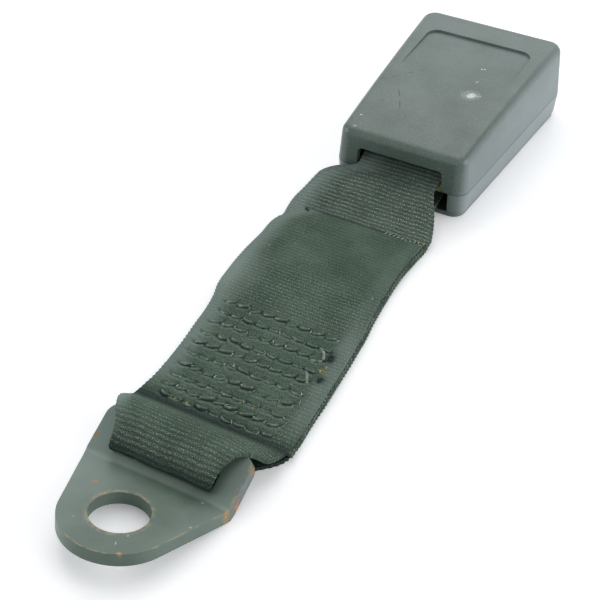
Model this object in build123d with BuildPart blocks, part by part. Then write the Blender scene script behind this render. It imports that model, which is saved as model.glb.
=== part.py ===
from build123d import *
from math import cos, radians, sin, sqrt, tan
import os

# Seat belt buckle on its short strap, lying on a flat surface.
# Row frame in mm: X across the webbing, +Y from the anchor plate to the tongue slot, +Z up.
# The origin is the centre of the anchor bolt hole, half way through the plate.

# --- anchor plate: a stamped steel strip, bent up towards the webbing ---------------------
plate_thickness = 3.6
anchor_hole_diameter = 15.4
plate_nose_radius = 15.2
plate_rear_width = 43.0
plate_tilt = 12.5            # degrees, nose up
plate_bend_angle = 37.5      # degrees between the flat and the wing
plate_bend_radius = 5.0      # in the middle of the sheet
plate_flat_length = 16.5     # hole centre to the corner of the bend
plate_slot_start = 3.0       # from the corner of the bend, along the wing
plate_slot_length = 5.6
plate_slot_width = 29.2
plate_slot_radius = 1.0
plate_bar_width = 6.6
plate_corner_radius = 4.0

plate_plane = Plane(
    origin=(0, 0, 0),
    x_dir=(1, 0, 0),
    z_dir=(0, sin(radians(plate_tilt)), cos(radians(plate_tilt))),
)
bend_corner = plate_plane.from_local_coords((0, plate_flat_length, 0))
wing_slope = plate_bend_angle - plate_tilt
wing_plane = Plane(
    origin=bend_corner,
    x_dir=(1, 0, 0),
    z_dir=(0, -sin(radians(wing_slope)), cos(radians(wing_slope))),
)
wing_length = plate_slot_start + plate_slot_length + plate_bar_width
plate_bar = wing_plane.from_local_coords((0, wing_length - plate_bar_width / 2, 0))
bend_middle_slope = radians(wing_slope - plate_tilt) / 2
bend_centre_z = bend_corner.Z + plate_bend_radius * cos(bend_middle_slope) / cos(
    radians(plate_bend_angle) / 2
)
# The plate lies on the outside of its bend, and everything else lies on the same level.
floor_z = bend_centre_z - plate_bend_radius - plate_thickness / 2

# --- webbing: one band, folded round both bars and sewn in three layers --------------------
web_width = 48.0
web_thickness = 1.2
loop_clearance = 0.35        # webbing to the corners of the bar inside it
slot_end_clearance = 0.6     # webbing to each end of a slot
strap_start = 44.0           # the layers meet here, in front of the anchor loop
free_end = 135.0             # cut end of the top layer
strap_finish = 137.0         # the two lower layers part here, towards the buckle
strap_sway_front = 2.5       # sideways lie of the strap at strap_start
strap_sway_back = -4.5       # and before free_end
gather_radius = 7.0          # where the edges of the webbing turn in to a slot

# --- buckle housing, two moulded covers ----------------------------------------------------
housing_start = 156.4        # near face, at the parting plane
housing_length = 80.0
frame_side_gap = 1.6         # frame to the inside of the housing, at its near end
housing_flare = 4.7          # the far end is this much wider on each side
near_height = 21.3           # over the surface
far_height = 27.1
parting_height = 8.9
wall = 2.0
floor_thickness = 1.6
side_draft = 4.5             # degrees
bottom_draft = 4.0
top_bow = 0.9                # rise of the top face's curve over its chord
near_corner_radius = 4.6
far_corner_radius = 6.0
top_edge_radius = 2.8
bottom_end_radius = 5.5
rim_height = 1.9             # groove line round the foot of the bottom cover
rim_depth = 0.4
lip_shelf = 1.8              # the lip stands on a shelf this deep below the parting plane
lip_height = 1.3             # lip of the bottom cover, inside the top cover
lip_thickness = 1.0
lip_clearance = 0.25

web_slot_width = 29.5
web_slot_top = 15.8
web_notch_width = 34.8
web_slot_radius = 1.6

panel_width = 38.0           # recessed label panel, left bare
panel_length = 26.0
panel_end_margin = 14.0      # from the far end of the housing
panel_depth = 0.8
panel_corner_radius = 4.0

# --- steel frame ----------------------------------------------------------------------------
frame_thickness = 2.5
frame_height = 7.0           # underside of the base over the surface
frame_width = 38.0
frame_start = 2.5            # from the near face of the housing
frame_end_gap = 8.5          # to the far end of the housing
frame_bar_width = 6.0
frame_slot_length = 7.0
frame_slot_width = 30.0
frame_corner_cut = 4.0
frame_rail_start = 19.0      # from the near face of the housing
frame_rail_height = 6.6      # of the side walls, over the underside
ear_radius = 5.5
rib_spacing = 28.0
rib_thickness = 2.0

# --- latch mechanism ------------------------------------------------------------------------
tongue_width = 27.6          # room for the tongue
mouth_lead_in = 1.2
mouth_setback = 0.7          # mouth guide and button behind the far end of the housing
cheek_reach = 12.0
tongue_gap = 4.4             # base of the frame to the underside of the button
running_clearance = 0.3
slide_clearance = 0.1
pivot_distance = 28.0        # near face of the housing to the latch pin
latch_width = 24.0
latch_thickness = 2.5
latch_lift_gap = 0.6         # latch over the button's underside
pin_diameter = 4.0
pin_bore_clearance = 0.05    # on the radius
eye_wall = 1.9
pin_head_thickness = 1.0
pin_head_rim = 1.0
pin_tail = 0.6
clip_thickness = 0.7
groove_depth = 0.5
latch_reach = 28.0           # pivot to the front of the tooth
tooth_width = 14.0
tooth_thickness = 2.5
tooth_lead_in = 1.4
shoulder_width = 3.5
tooth_notch_depth = 4.0
dimple_height = 0.6
latch_lift = 12.0            # degrees, tooth clear of the tongue

button_width = 34.0
button_flange = 1.6          # step that holds the button in the housing
flange_setback = 1.4         # the flange stops short of the inside of the end wall
button_height = 8.6
button_length = 17.4
button_wall = 1.6
button_travel = 6.0
button_edge_radius = 1.2
window_corner_radius = 0.8
ramp_width = 3.1

ejector_width = 14.0
ejector_length = 15.0
ejector_travel = 10.0
ejector_head_length = 9.0
ejector_head_height = 3.9
ejector_tail_height = 1.8
keel_width = 4.6
keel_length = 10.0
foot_width = 10.0
foot_thickness = 1.8
tooth_window_clearance = 0.4

spring_wire = 0.6
ejector_spring_diameter = 4.4
ejector_spring_pressed = 9.2     # length of the spring at the end of the ejector's travel
button_spring_diameter = 4.2
button_spring_pressed = 16.0     # and of the button's springs at the end of its travel
latch_spring_diameter = 5.4
spring_bore_depth = 6.0
stop_width = 5.0
ejector_spring_turns = 6
button_spring_turns = 6
latch_spring_turns = 3
spigot_length = 2.0
spring_play = 0.25           # spring to the spigot inside it, on the radius
spring_headroom = 0.3        # latch spring's upper seat under the inside of the top cover

screw_diameter = 3.0
screw_head_diameter = 5.4
screw_head_height = 1.6
boss_wall = 1.35
screw_length = 14.0
screw_recess = 0.4
screw_fit = 0.02
drive_width = 0.8
frame_screw_distance = 20.5
frame_screw_spacing = 21.0
cover_screw_setback = 18.0   # from the far end of the housing
cover_screw_gap = 0.25       # bosses to the sides of the frame

# --- levels and stations worked out from the sizes above --------------------------------------
strap_z = floor_z
parting_z = floor_z + parting_height
housing_end = housing_start + housing_length
near_width = frame_width + 2 * (wall + frame_side_gap)
far_width = near_width + 2 * housing_flare
base_z = floor_z + frame_height
base_top = base_z + frame_thickness
rail_top = base_z + frame_rail_height
button_z = base_top + tongue_gap
latch_z = button_z + latch_lift_gap
pivot_y = housing_start + pivot_distance
pivot_z = latch_z + latch_thickness / 2
frame_bar_y = housing_start + frame_start + frame_bar_width / 2
frame_bar_z = base_z + frame_thickness / 2
frame_slot_y = housing_start + frame_start + frame_bar_width
frame_end = housing_end - frame_end_gap
tooth_front = pivot_y + latch_reach
tooth_back = tooth_front - tooth_thickness
ejector_front = tooth_back - running_clearance
button_end = housing_end - mouth_setback
button_start = button_end - button_length
window_width = button_width + 2 * running_clearance
ejector_spring_length = ejector_travel + ejector_spring_pressed
button_spring_length = button_travel + button_spring_pressed
boss_radius = screw_diameter / 2 + boss_wall
cover_screw_distance = housing_length - cover_screw_setback
cover_screw_spacing = frame_width + 2 * (boss_radius + cover_screw_gap)
screw_rows = (
    (frame_screw_distance, frame_screw_spacing),
    (cover_screw_distance, cover_screw_spacing),
)


def along(distance):
    """A station in Y, measured from the near face of the housing."""
    return housing_start + distance


def top_level(y):
    """Height of the bowed top face over the middle of the housing."""
    share = (y - housing_start) / housing_length
    chord = near_height + (far_height - near_height) * share
    return floor_z + chord + 4 * top_bow * share * (1 - share)


def facing_near(y):
    """A plane across the part, looking along +Y: its sketches have X to the right and Z up."""
    return Plane.XZ.offset(-y)


def housing_outline(inset):
    """The plan of the housing, drawn in by inset."""
    near = near_width / 2 - inset
    far = far_width / 2 - inset
    start = housing_start + inset
    finish = housing_end - inset
    with BuildSketch() as outline:
        with BuildLine():
            Polyline((-near, start), (near, start), (far, finish), (-far, finish), close=True)
        make_face()
        fillet(outline.vertices().group_by(Axis.Y)[0], near_corner_radius - inset / 2)
        fillet(outline.vertices().group_by(Axis.Y)[-1], far_corner_radius - inset / 2)
    return outline.sketch_local


def upper_form(inset):
    """The upper half of the housing's outside, or the room inside it when inset is the wall."""
    with BuildPart() as form:
        with BuildSketch(Plane.XY.offset(parting_z)):
            add(housing_outline(inset))
        extrude(amount=far_height + top_bow, taper=side_draft)
        near_edge = floor_z + near_height - inset
        far_edge = floor_z + far_height - inset
        with BuildSketch(Plane.YZ):
            with BuildLine():
                SagittaArc((housing_start, near_edge), (housing_end, far_edge), top_bow)
                Polyline(
                    (housing_end, far_edge),
                    (housing_end, parting_z),
                    (housing_start, parting_z),
                    (housing_start, near_edge),
                )
            make_face()
        extrude(amount=far_width, both=True, mode=Mode.INTERSECT)
        fillet(form.faces().sort_by(Axis.Z)[-1].edges(), top_edge_radius - inset / 2)
    return form.part


def lower_form(inset, bottom):
    """The lower half of the housing's outside, or the room inside it, down to its bottom."""
    with BuildPart() as form:
        with BuildSketch(Plane.XY.offset(parting_z)):
            add(housing_outline(inset))
        extrude(amount=bottom - parting_z, taper=bottom_draft)
        with BuildSketch(Plane.YZ) as side:
            with BuildLine():
                Polyline(
                    (housing_start, parting_z),
                    (housing_start, bottom),
                    (housing_end - inset, bottom),
                    (housing_end - inset, parting_z),
                    close=True,
                )
            make_face()
            far_corner = side.vertices().sort_by(lambda vertex: vertex.X - vertex.Y)[-1]
            fillet(far_corner, bottom_end_radius - inset)
        extrude(amount=far_width, both=True, mode=Mode.INTERSECT)
    return form.part


def coil_spring(start, direction, length, diameter, turns):
    """A compression spring that stands on start and points along direction."""
    radius = (diameter - spring_wire) / 2
    height = length - spring_wire
    first = Vector(*start) + Vector(*direction) * spring_wire / 2
    with BuildPart() as spring:
        with BuildLine():
            path = Helix(height / turns, height, radius, center=first, direction=direction)
        with BuildSketch(Plane(origin=path @ 0, z_dir=path % 0)):
            RegularPolygon(radius=spring_wire / 2, side_count=5)
        sweep(path=path, is_frenet=True)
    return spring.part


def finish_piece(piece, label):
    """Name a finished piece and write its STEP file."""
    piece.label = label
    export_step(piece, f"parts/{label}.step")


os.makedirs("parts", exist_ok=True)

# --- anchor plate ------------------------------------------------------------------------------
nose = plate_plane.from_local_coords((0, -plate_nose_radius, 0))
tail = wing_plane.from_local_coords((0, wing_length, 0))
with BuildPart() as anchor_plate:
    with BuildSketch(Plane.YZ):
        with BuildLine() as middle_line:
            FilletPolyline(
                (nose.Y, nose.Z),
                (bend_corner.Y, bend_corner.Z),
                (tail.Y, tail.Z),
                radius=plate_bend_radius,
            )
        trace(line_width=plate_thickness)
    extrude(amount=plate_rear_width / 2, both=True)
    # The plan of the strip: a round nose about the hole, widening to the square wing
    with BuildSketch(plate_plane):
        Circle(plate_nose_radius)
        with Locations((0, plate_flat_length + wing_length / 2)):
            Rectangle(plate_rear_width, wing_length)
        make_hull()
    extrude(amount=wing_length + plate_flat_length, both=True, mode=Mode.INTERSECT)
    with BuildSketch(wing_plane) as wing_outline:
        reach = 2 * (plate_flat_length + plate_nose_radius)
        with Locations((0, wing_length)):
            Rectangle(plate_rear_width, reach, align=(Align.CENTER, Align.MAX))
        fillet(wing_outline.vertices().group_by(Axis.Y)[-1], plate_corner_radius)
    extrude(amount=reach, both=True, mode=Mode.INTERSECT)
    with BuildSketch(wing_plane):
        with Locations((0, plate_slot_start + plate_slot_length / 2)):
            RectangleRounded(plate_slot_width, plate_slot_length, plate_slot_radius)
    extrude(amount=plate_thickness, both=True, mode=Mode.SUBTRACT)
    with BuildSketch(plate_plane):
        Circle(anchor_hole_diameter / 2)
    extrude(amount=plate_thickness, both=True, mode=Mode.SUBTRACT)
finish_piece(anchor_plate.part, "anchor_plate")

# --- webbing -----------------------------------------------------------------------------------
plate_loop_radius = sqrt(plate_bar_width**2 + plate_thickness**2) / 2 + loop_clearance
frame_loop_radius = sqrt(frame_bar_width**2 + frame_thickness**2) / 2 + loop_clearance
three_layers = 3 * web_thickness
two_layers = 2 * web_thickness
join = 0.5                   # the loops' outlines run this far into the strap

with BuildSketch(Plane.YZ) as plate_loop:
    with Locations((plate_bar.Y, plate_bar.Z)):
        Circle(plate_loop_radius + web_thickness)
    with Locations((strap_start, strap_z + three_layers / 2)):
        Rectangle(join, three_layers)
    make_hull()
with BuildSketch(Plane.YZ) as plate_eye:
    with Locations((plate_bar.Y, plate_bar.Z)):
        Circle(plate_loop_radius)
    with Locations((strap_start, strap_z + three_layers / 2)):
        Rectangle(join, web_thickness)
    make_hull()
with BuildSketch(Plane.YZ) as frame_loop:
    with Locations((frame_bar_y, frame_bar_z)):
        Circle(frame_loop_radius + web_thickness)
    with Locations((strap_finish, strap_z + two_layers / 2)):
        Rectangle(join, two_layers)
    make_hull()
with BuildSketch(Plane.YZ) as frame_eye:
    with Locations((frame_bar_y, frame_bar_z)):
        Circle(frame_loop_radius)
    with Locations((strap_finish + 2 * three_layers, strap_z + web_thickness * 1.6)):
        Rectangle(join, join / 10)
    make_hull()

plate_gather = plate_slot_width / 2 - slot_end_clearance
frame_gather = web_slot_width / 2 - slot_end_clearance
with BuildPart() as webbing:
    with BuildSketch(Plane.YZ):
        add(plate_loop.sketch_local)
        add(frame_loop.sketch_local)
        with Locations(((strap_start + free_end) / 2, strap_z + three_layers / 2)):
            Rectangle(free_end - strap_start, three_layers)
        with Locations(((free_end + strap_finish) / 2, strap_z + two_layers / 2)):
            Rectangle(strap_finish - free_end + join, two_layers)
        add(plate_eye.sketch_local, mode=Mode.SUBTRACT)
        add(frame_eye.sketch_local, mode=Mode.SUBTRACT)
    extrude(amount=web_width, both=True)
    # The plan: gathered in both slots, and swaying a little from side to side between them
    with BuildSketch(Plane.XY.offset(strap_z - join)) as plan:
        stations = [
            (plate_bar.Y - plate_loop_radius - two_layers, 0, plate_gather),
            (plate_bar.Y + plate_loop_radius / 2, 0, plate_gather),
            (strap_start, strap_sway_front, web_width / 2),
            (free_end - plate_rear_width / 2, strap_sway_back, web_width / 2),
            (strap_finish, strap_sway_back / 2, web_width / 2),
            (housing_start - wall, 0, frame_gather),
            (frame_bar_y + frame_loop_radius + two_layers, 0, frame_gather),
        ]
        right = [(sway + half, y) for y, sway, half in stations]
        left = [(sway - half, y) for y, sway, half in reversed(stations)]
        with BuildLine():
            Polyline(*right, *left, close=True)
        make_face()
        fillet(plan.vertices().sort_by(Axis.Y)[2:-2], gather_radius)
    extrude(amount=near_height, mode=Mode.INTERSECT)
finish_piece(webbing.part, "webbing")

# --- steel frame -------------------------------------------------------------------------------
keel_start = ejector_front - ejector_length
keel_end = keel_start + keel_length
ejector_slot_end = keel_end + running_clearance
spring_seat_y = keel_start - ejector_spring_length
tooth_window_start = tooth_back - 2 * tooth_window_clearance
tooth_window_end = tooth_front + tooth_window_clearance
with BuildPart() as frame:
    with BuildSketch(Plane.XY.offset(base_z)) as base:
        with Locations((0, along(frame_start))):
            Rectangle(
                frame_width, frame_end - along(frame_start), align=(Align.CENTER, Align.MIN)
            )
        chamfer(base.vertices().group_by(Axis.Y)[0], frame_corner_cut)
        with Locations((0, frame_slot_y + frame_slot_length / 2)):
            RectangleRounded(frame_slot_width, frame_slot_length, 2, mode=Mode.SUBTRACT)
        with Locations((0, spring_seat_y)):
            Rectangle(
                keel_width + 2 * running_clearance,
                ejector_slot_end - spring_seat_y,
                align=(Align.CENTER, Align.MIN),
                mode=Mode.SUBTRACT,
            )
        with Locations((0, tooth_window_start)):
            Rectangle(
                tooth_width + 2 * tooth_window_clearance,
                tooth_window_end - tooth_window_start,
                align=(Align.CENTER, Align.MIN),
                mode=Mode.SUBTRACT,
            )
        with Locations((0, along(frame_screw_distance))):
            with GridLocations(frame_screw_spacing, 0, 2, 1):
                Circle(screw_diameter / 2 + running_clearance, mode=Mode.SUBTRACT)
    extrude(amount=frame_thickness)
    # Side walls, with an ear for the latch pin on each
    with BuildSketch(Plane.YZ.offset(frame_width / 2 - frame_thickness)):
        with Locations((along(frame_rail_start), base_z)):
            Rectangle(
                frame_end - along(frame_rail_start), frame_rail_height, align=(Align.MIN, Align.MIN)
            )
        with Locations((pivot_y, pivot_z)):
            Circle(ear_radius)
        with Locations((pivot_y, base_z)):
            Rectangle(2 * ear_radius, pivot_z - base_z, align=(Align.CENTER, Align.MIN))
        with Locations((pivot_y, pivot_z)):
            Circle(pin_diameter / 2 + pin_bore_clearance, mode=Mode.SUBTRACT)
    extrude(amount=frame_thickness)
    mirror(about=Plane.YZ)
    # A spigot formed at the end of the ejector's slot holds its spring
    with BuildSketch(facing_near(spring_seat_y)):
        with Locations((0, frame_bar_z)):
            Circle(frame_thickness / 2)
    extrude(amount=-spigot_length)
finish_piece(frame.part, "frame")

# --- mouth guide: lines the tongue slot in front of the frame -----------------------------------
guide_width = button_width
guide_start = frame_end + slide_clearance
guide_end = housing_end - mouth_setback
cheek_inner = tongue_width / 2 + running_clearance
cheek_height = tongue_gap - running_clearance
with BuildPart() as mouth_guide:
    # The block behind the end wall, and the thin lip that runs out over the bottom cover
    with BuildSketch(Plane.YZ):
        with BuildLine():
            Polyline(
                (guide_start, base_z),
                (guide_start, base_top),
                (guide_end, base_top),
                (guide_end, parting_z + slide_clearance / 2),
                (housing_end - wall - running_clearance, parting_z + slide_clearance / 2),
                (housing_end - wall - running_clearance, base_z),
                close=True,
            )
        make_face()
    extrude(amount=guide_width / 2, both=True)
    # Cheeks on both sides of the tongue, reaching back inside the frame's walls
    rail_inner = frame_width / 2 - frame_thickness - slide_clearance
    with BuildSketch(Plane.XY.offset(base_top)):
        with Locations((cheek_inner, guide_start - cheek_reach)):
            Rectangle(
                rail_inner - cheek_inner,
                guide_end - guide_start + cheek_reach,
                align=(Align.MIN, Align.MIN),
            )
        with Locations((cheek_inner, guide_start)):
            Rectangle(
                guide_width / 2 - cheek_inner, guide_end - guide_start, align=(Align.MIN, Align.MIN)
            )
    extrude(amount=cheek_height)
    mirror(about=Plane.YZ)
    lead_edges = mouth_guide.edges().filter_by(Axis.Z).group_by(Axis.Y)[-1]
    chamfer(lead_edges.sort_by(lambda edge: abs(edge.center().X))[:2], mouth_lead_in)
finish_piece(mouth_guide.part, "mouth_guide")

# --- latch plate, its pin and the clip on the pin ------------------------------------------------
pin_radius = pin_diameter / 2
eye_radius = pin_radius + pin_bore_clearance + eye_wall
pin_end = frame_width / 2 + clip_thickness + 2 * slide_clearance
with BuildPart() as latch_plate:
    with BuildSketch(Plane.XY.offset(latch_z)):
        with Locations((0, pivot_y)):
            Rectangle(latch_width, tooth_front - pivot_y, align=(Align.CENTER, Align.MIN))
        notch_x = tooth_width / 2 + (latch_width / 2 - shoulder_width - tooth_width / 2) / 2
        with Locations((-notch_x, tooth_front), (notch_x, tooth_front)):
            Rectangle(
                latch_width / 2 - shoulder_width - tooth_width / 2,
                tooth_notch_depth,
                align=(Align.CENTER, Align.MAX),
                mode=Mode.SUBTRACT,
            )
    extrude(amount=latch_thickness)
    # The tooth, bent down through the window, with the lead-in that a tongue pushes up
    with BuildSketch(Plane.YZ):
        with BuildLine():
            Polyline(
                (tooth_back, latch_z),
                (tooth_front, latch_z),
                (tooth_front, base_top + frame_thickness),
                (tooth_front - tooth_lead_in, base_z + slide_clearance),
                (tooth_back, base_z + slide_clearance),
                close=True,
            )
        make_face()
    extrude(amount=tooth_width / 2, both=True)
    # The rolled eye round the pin
    with BuildSketch(Plane.YZ):
        with Locations((pivot_y, pivot_z)):
            Circle(eye_radius)
    extrude(amount=latch_width / 2, both=True)
    with BuildSketch(Plane.YZ):
        with Locations((pivot_y, pivot_z)):
            Circle(pin_radius + pin_bore_clearance)
    extrude(amount=latch_width, both=True, mode=Mode.SUBTRACT)
    # A dimple pressed up from the sheet holds the foot of the spring
    latch_spring_y = pivot_y + latch_reach / 2
    spigot_radius = latch_spring_diameter / 2 - spring_wire - spring_play
    with BuildSketch(Plane.XY.offset(latch_z + latch_thickness)):
        with Locations((0, latch_spring_y)):
            Circle(spigot_radius)
    extrude(amount=dimple_height, taper=20)
finish_piece(latch_plate.part, "latch_plate")

with BuildPart() as latch_pin:
    with BuildSketch(Plane.YZ.offset(-frame_width / 2)):
        with Locations((pivot_y, pivot_z)):
            Circle(pin_radius)
    extrude(amount=frame_width / 2 + pin_end + pin_tail)
    with BuildSketch(Plane.YZ.offset(-frame_width / 2 - pin_head_thickness)):
        with Locations((pivot_y, pivot_z)):
            Circle(pin_radius + pin_head_rim)
    extrude(amount=pin_head_thickness)
    # The groove for the clip
    with BuildSketch(Plane.YZ.offset(frame_width / 2 + slide_clearance)):
        with Locations((pivot_y, pivot_z)):
            Circle(pin_radius)
            Circle(pin_radius - groove_depth, mode=Mode.SUBTRACT)
    extrude(amount=clip_thickness, mode=Mode.SUBTRACT)
    chamfer(latch_pin.edges().group_by(Axis.X)[-1], groove_depth / 2)
finish_piece(latch_pin.part, "latch_pin")

with BuildPart() as pin_clip:
    with BuildSketch(Plane.YZ.offset(frame_width / 2 + slide_clearance)):
        with Locations((pivot_y, pivot_z)):
            Circle(pin_radius + pin_head_rim)
            Circle(pin_radius - groove_depth + slide_clearance / 2, mode=Mode.SUBTRACT)
        with Locations((pivot_y, pivot_z)):
            Rectangle(
                2 * (pin_radius - groove_depth),
                2 * pin_radius + pin_head_rim,
                align=(Align.CENTER, Align.MAX),
                mode=Mode.SUBTRACT,
            )
    extrude(amount=clip_thickness - slide_clearance)
finish_piece(pin_clip.part, "pin_clip")

# --- ejector -------------------------------------------------------------------------------------
with BuildPart() as ejector:
    head_top = base_top + ejector_head_height
    tail_top = base_top + ejector_tail_height
    head_start = ejector_front - ejector_head_length
    with BuildSketch(Plane.YZ):
        with BuildLine():
            Polyline(
                (keel_start, base_top),
                (keel_start, tail_top),
                (head_start, tail_top),
                (head_start + ejector_head_height - ejector_tail_height, head_top),
                (ejector_front, head_top),
                (ejector_front, base_top),
                close=True,
            )
        make_face()
    extrude(amount=ejector_width / 2, both=True)
    with BuildSketch(Plane.YZ):
        with Locations((keel_start, base_top)):
            Rectangle(
                keel_length, frame_thickness + slide_clearance, align=(Align.MIN, Align.MAX)
            )
    extrude(amount=keel_width / 2, both=True)
    with BuildSketch(Plane.XY.offset(base_z - slide_clearance)):
        with Locations((0, keel_start)):
            Rectangle(foot_width, keel_length, align=(Align.CENTER, Align.MIN))
    extrude(amount=-foot_thickness)
    fillet(ejector.edges().filter_by(Axis.Z).group_by(Axis.Y)[-1], foot_thickness / 2)
    # The spigot inside the front of the spring
    with BuildSketch(facing_near(keel_start)):
        with Locations((0, frame_bar_z)):
            Circle(ejector_spring_diameter / 2 - spring_wire - spring_play)
    extrude(amount=spigot_length)
finish_piece(ejector.part, "ejector")

# --- release button -------------------------------------------------------------------------------
button_top = button_z + button_height
flange_end = housing_end - wall - flange_setback
ramp_slope = latch_reach * sin(radians(latch_lift)) / button_travel
ramp_run = (button_height - button_wall) / ramp_slope
ramp_toe = tooth_front - latch_lift_gap + running_clearance / 2
cheek_width = button_width / 2 - latch_width / 2 - slide_clearance * 4
button_spring_x = (button_width + button_flange - cheek_width) / 2
button_spring_z = button_z + button_height / 2
with BuildPart() as release_button:
    with BuildSketch(Plane.XY.offset(button_z)) as button_plan:
        with Locations((0, button_start)):
            Rectangle(
                button_width, button_end - button_start, align=(Align.CENTER, Align.MIN)
            )
        with Locations((0, button_start)):
            Rectangle(
                button_width + 2 * button_flange,
                flange_end - button_start,
                align=(Align.CENTER, Align.MIN),
            )
    extrude(amount=button_height)
    # Hollow underneath and behind, as moulded
    with BuildSketch(Plane.XY.offset(button_z)):
        with Locations((0, button_start)):
            Rectangle(
                button_width - 2 * cheek_width,
                button_end - button_start - 2 * button_wall,
                align=(Align.CENTER, Align.MIN),
            )
    extrude(amount=button_height - button_wall, mode=Mode.SUBTRACT)
    # Two ramps reach back under the latch plate's shoulders
    with BuildSketch(Plane.YZ.offset(latch_width / 2 - ramp_width)):
        with BuildLine():
            Polyline(
                (ramp_toe, button_z),
                (ramp_toe + ramp_run, button_top - button_wall),
                (button_end - button_wall, button_top - button_wall),
                (button_end - button_wall, button_z),
                close=True,
            )
        make_face()
    extrude(amount=ramp_width)
    mirror(about=Plane.YZ)
    # Blind bores for the two return springs
    with BuildSketch(facing_near(button_start)):
        with Locations((0, button_spring_z)):
            with GridLocations(2 * button_spring_x, 0, 2, 1):
                Circle(button_spring_diameter / 2 + running_clearance)
    extrude(amount=-spring_bore_depth, mode=Mode.SUBTRACT)
    press_face = release_button.faces().sort_by(Axis.Y)[-1]
    fillet(press_face.edges(), button_edge_radius)
finish_piece(release_button.part, "release_button")

# --- bottom cover ---------------------------------------------------------------------------------
screw_seat = floor_z + screw_head_height + screw_recess
screw_hole_top = screw_seat + screw_length + running_clearance
rim_inset = (parting_height - rim_height) * tan(radians(bottom_draft)) + rim_depth
with BuildPart() as tray_fittings:
    # Ribs that carry the frame
    with BuildSketch(Plane.XY.offset(floor_z)):
        rib_length = frame_end - along(frame_rail_start)
        with Locations((0, (frame_end + along(frame_rail_start)) / 2)):
            with GridLocations(rib_spacing, 0, 2, 1):
                Rectangle(rib_thickness, rib_length)
        with Locations((0, frame_slot_y)):
            with GridLocations(frame_slot_width + frame_corner_cut, 0, 2, 1):
                Rectangle(rib_thickness, frame_slot_length)
    extrude(amount=frame_height)
    # Screw bosses: two under the frame, two beside it up to the parting plane
    with BuildSketch(Plane.XY.offset(floor_z)):
        with Locations((0, along(frame_screw_distance))):
            with GridLocations(frame_screw_spacing, 0, 2, 1):
                Circle(screw_head_diameter / 2 + boss_wall)
    extrude(amount=frame_height)
    with BuildSketch(Plane.XY.offset(floor_z)):
        with Locations((0, along(cover_screw_distance))):
            with GridLocations(cover_screw_spacing, 0, 2, 1):
                Circle(screw_head_diameter / 2 + boss_wall)
    extrude(amount=frame_height - 2 * running_clearance)
    with BuildSketch(Plane.XY.offset(floor_z)):
        with Locations((0, along(cover_screw_distance))):
            with GridLocations(cover_screw_spacing, 0, 2, 1):
                Circle(boss_radius - slide_clearance)
    extrude(amount=parting_height)
    add(lower_form(wall / 2, floor_z + floor_thickness / 2), mode=Mode.INTERSECT)
with BuildPart() as bottom_cover:
    add(lower_form(0, floor_z))
    with BuildSketch(Plane.XY.offset(floor_z)):
        Rectangle(far_width * 2, housing_end * 2 + far_width)
        add(housing_outline(rim_inset), mode=Mode.SUBTRACT)
    extrude(amount=rim_height, mode=Mode.SUBTRACT)
    add(lower_form(wall, floor_z + floor_thickness), mode=Mode.SUBTRACT)
    # The lip that the top cover closes over, with the shelf that carries it
    with BuildSketch(Plane.XY.offset(parting_z - lip_shelf)):
        add(housing_outline(wall / 2))
        add(housing_outline(wall + lip_clearance + lip_thickness), mode=Mode.SUBTRACT)
    extrude(amount=lip_shelf)
    with BuildSketch(Plane.XY.offset(parting_z)):
        add(housing_outline(wall + lip_clearance))
        add(housing_outline(wall + lip_clearance + lip_thickness), mode=Mode.SUBTRACT)
    extrude(amount=lip_height)
    # Openings for the webbing and for the mouth guide
    with BuildSketch(facing_near(housing_start - wall)):
        with Locations((0, floor_z + floor_thickness)):
            Rectangle(web_notch_width, near_height, align=(Align.CENTER, Align.MIN))
    extrude(amount=-3 * wall, mode=Mode.SUBTRACT)
    with BuildSketch(facing_near(housing_end - 3 * wall)):
        with Locations((0, parting_z)):
            Rectangle(window_width, near_height, align=(Align.CENTER, Align.MIN))
    extrude(amount=-4 * wall, mode=Mode.SUBTRACT)
    with BuildSketch(facing_near(housing_end - 3 * wall)):
        with Locations((0, base_z - running_clearance)):
            Rectangle(window_width, near_height, align=(Align.CENTER, Align.MIN))
    extrude(amount=-2 * wall, mode=Mode.SUBTRACT)
    add(tray_fittings.part)
    for distance, spacing in screw_rows:
        with BuildSketch(Plane.XY.offset(floor_z)):
            with Locations((0, along(distance))):
                with GridLocations(spacing, 0, 2, 1):
                    Circle(screw_diameter / 2 + slide_clearance)
        extrude(amount=parting_height, mode=Mode.SUBTRACT)
        with BuildSketch(Plane.XY.offset(floor_z)):
            with Locations((0, along(distance))):
                with GridLocations(spacing, 0, 2, 1):
                    Circle(screw_head_diameter / 2 + slide_clearance)
        extrude(amount=screw_seat - floor_z, mode=Mode.SUBTRACT)
    # Room in the lip for the top cover's bosses
    with BuildSketch(Plane.XY.offset(parting_z)):
        with Locations((0, along(cover_screw_distance))):
            with GridLocations(cover_screw_spacing, 0, 2, 1):
                Circle(boss_radius + running_clearance)
    extrude(amount=lip_height, mode=Mode.SUBTRACT)
finish_piece(bottom_cover.part, "bottom_cover")

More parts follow.
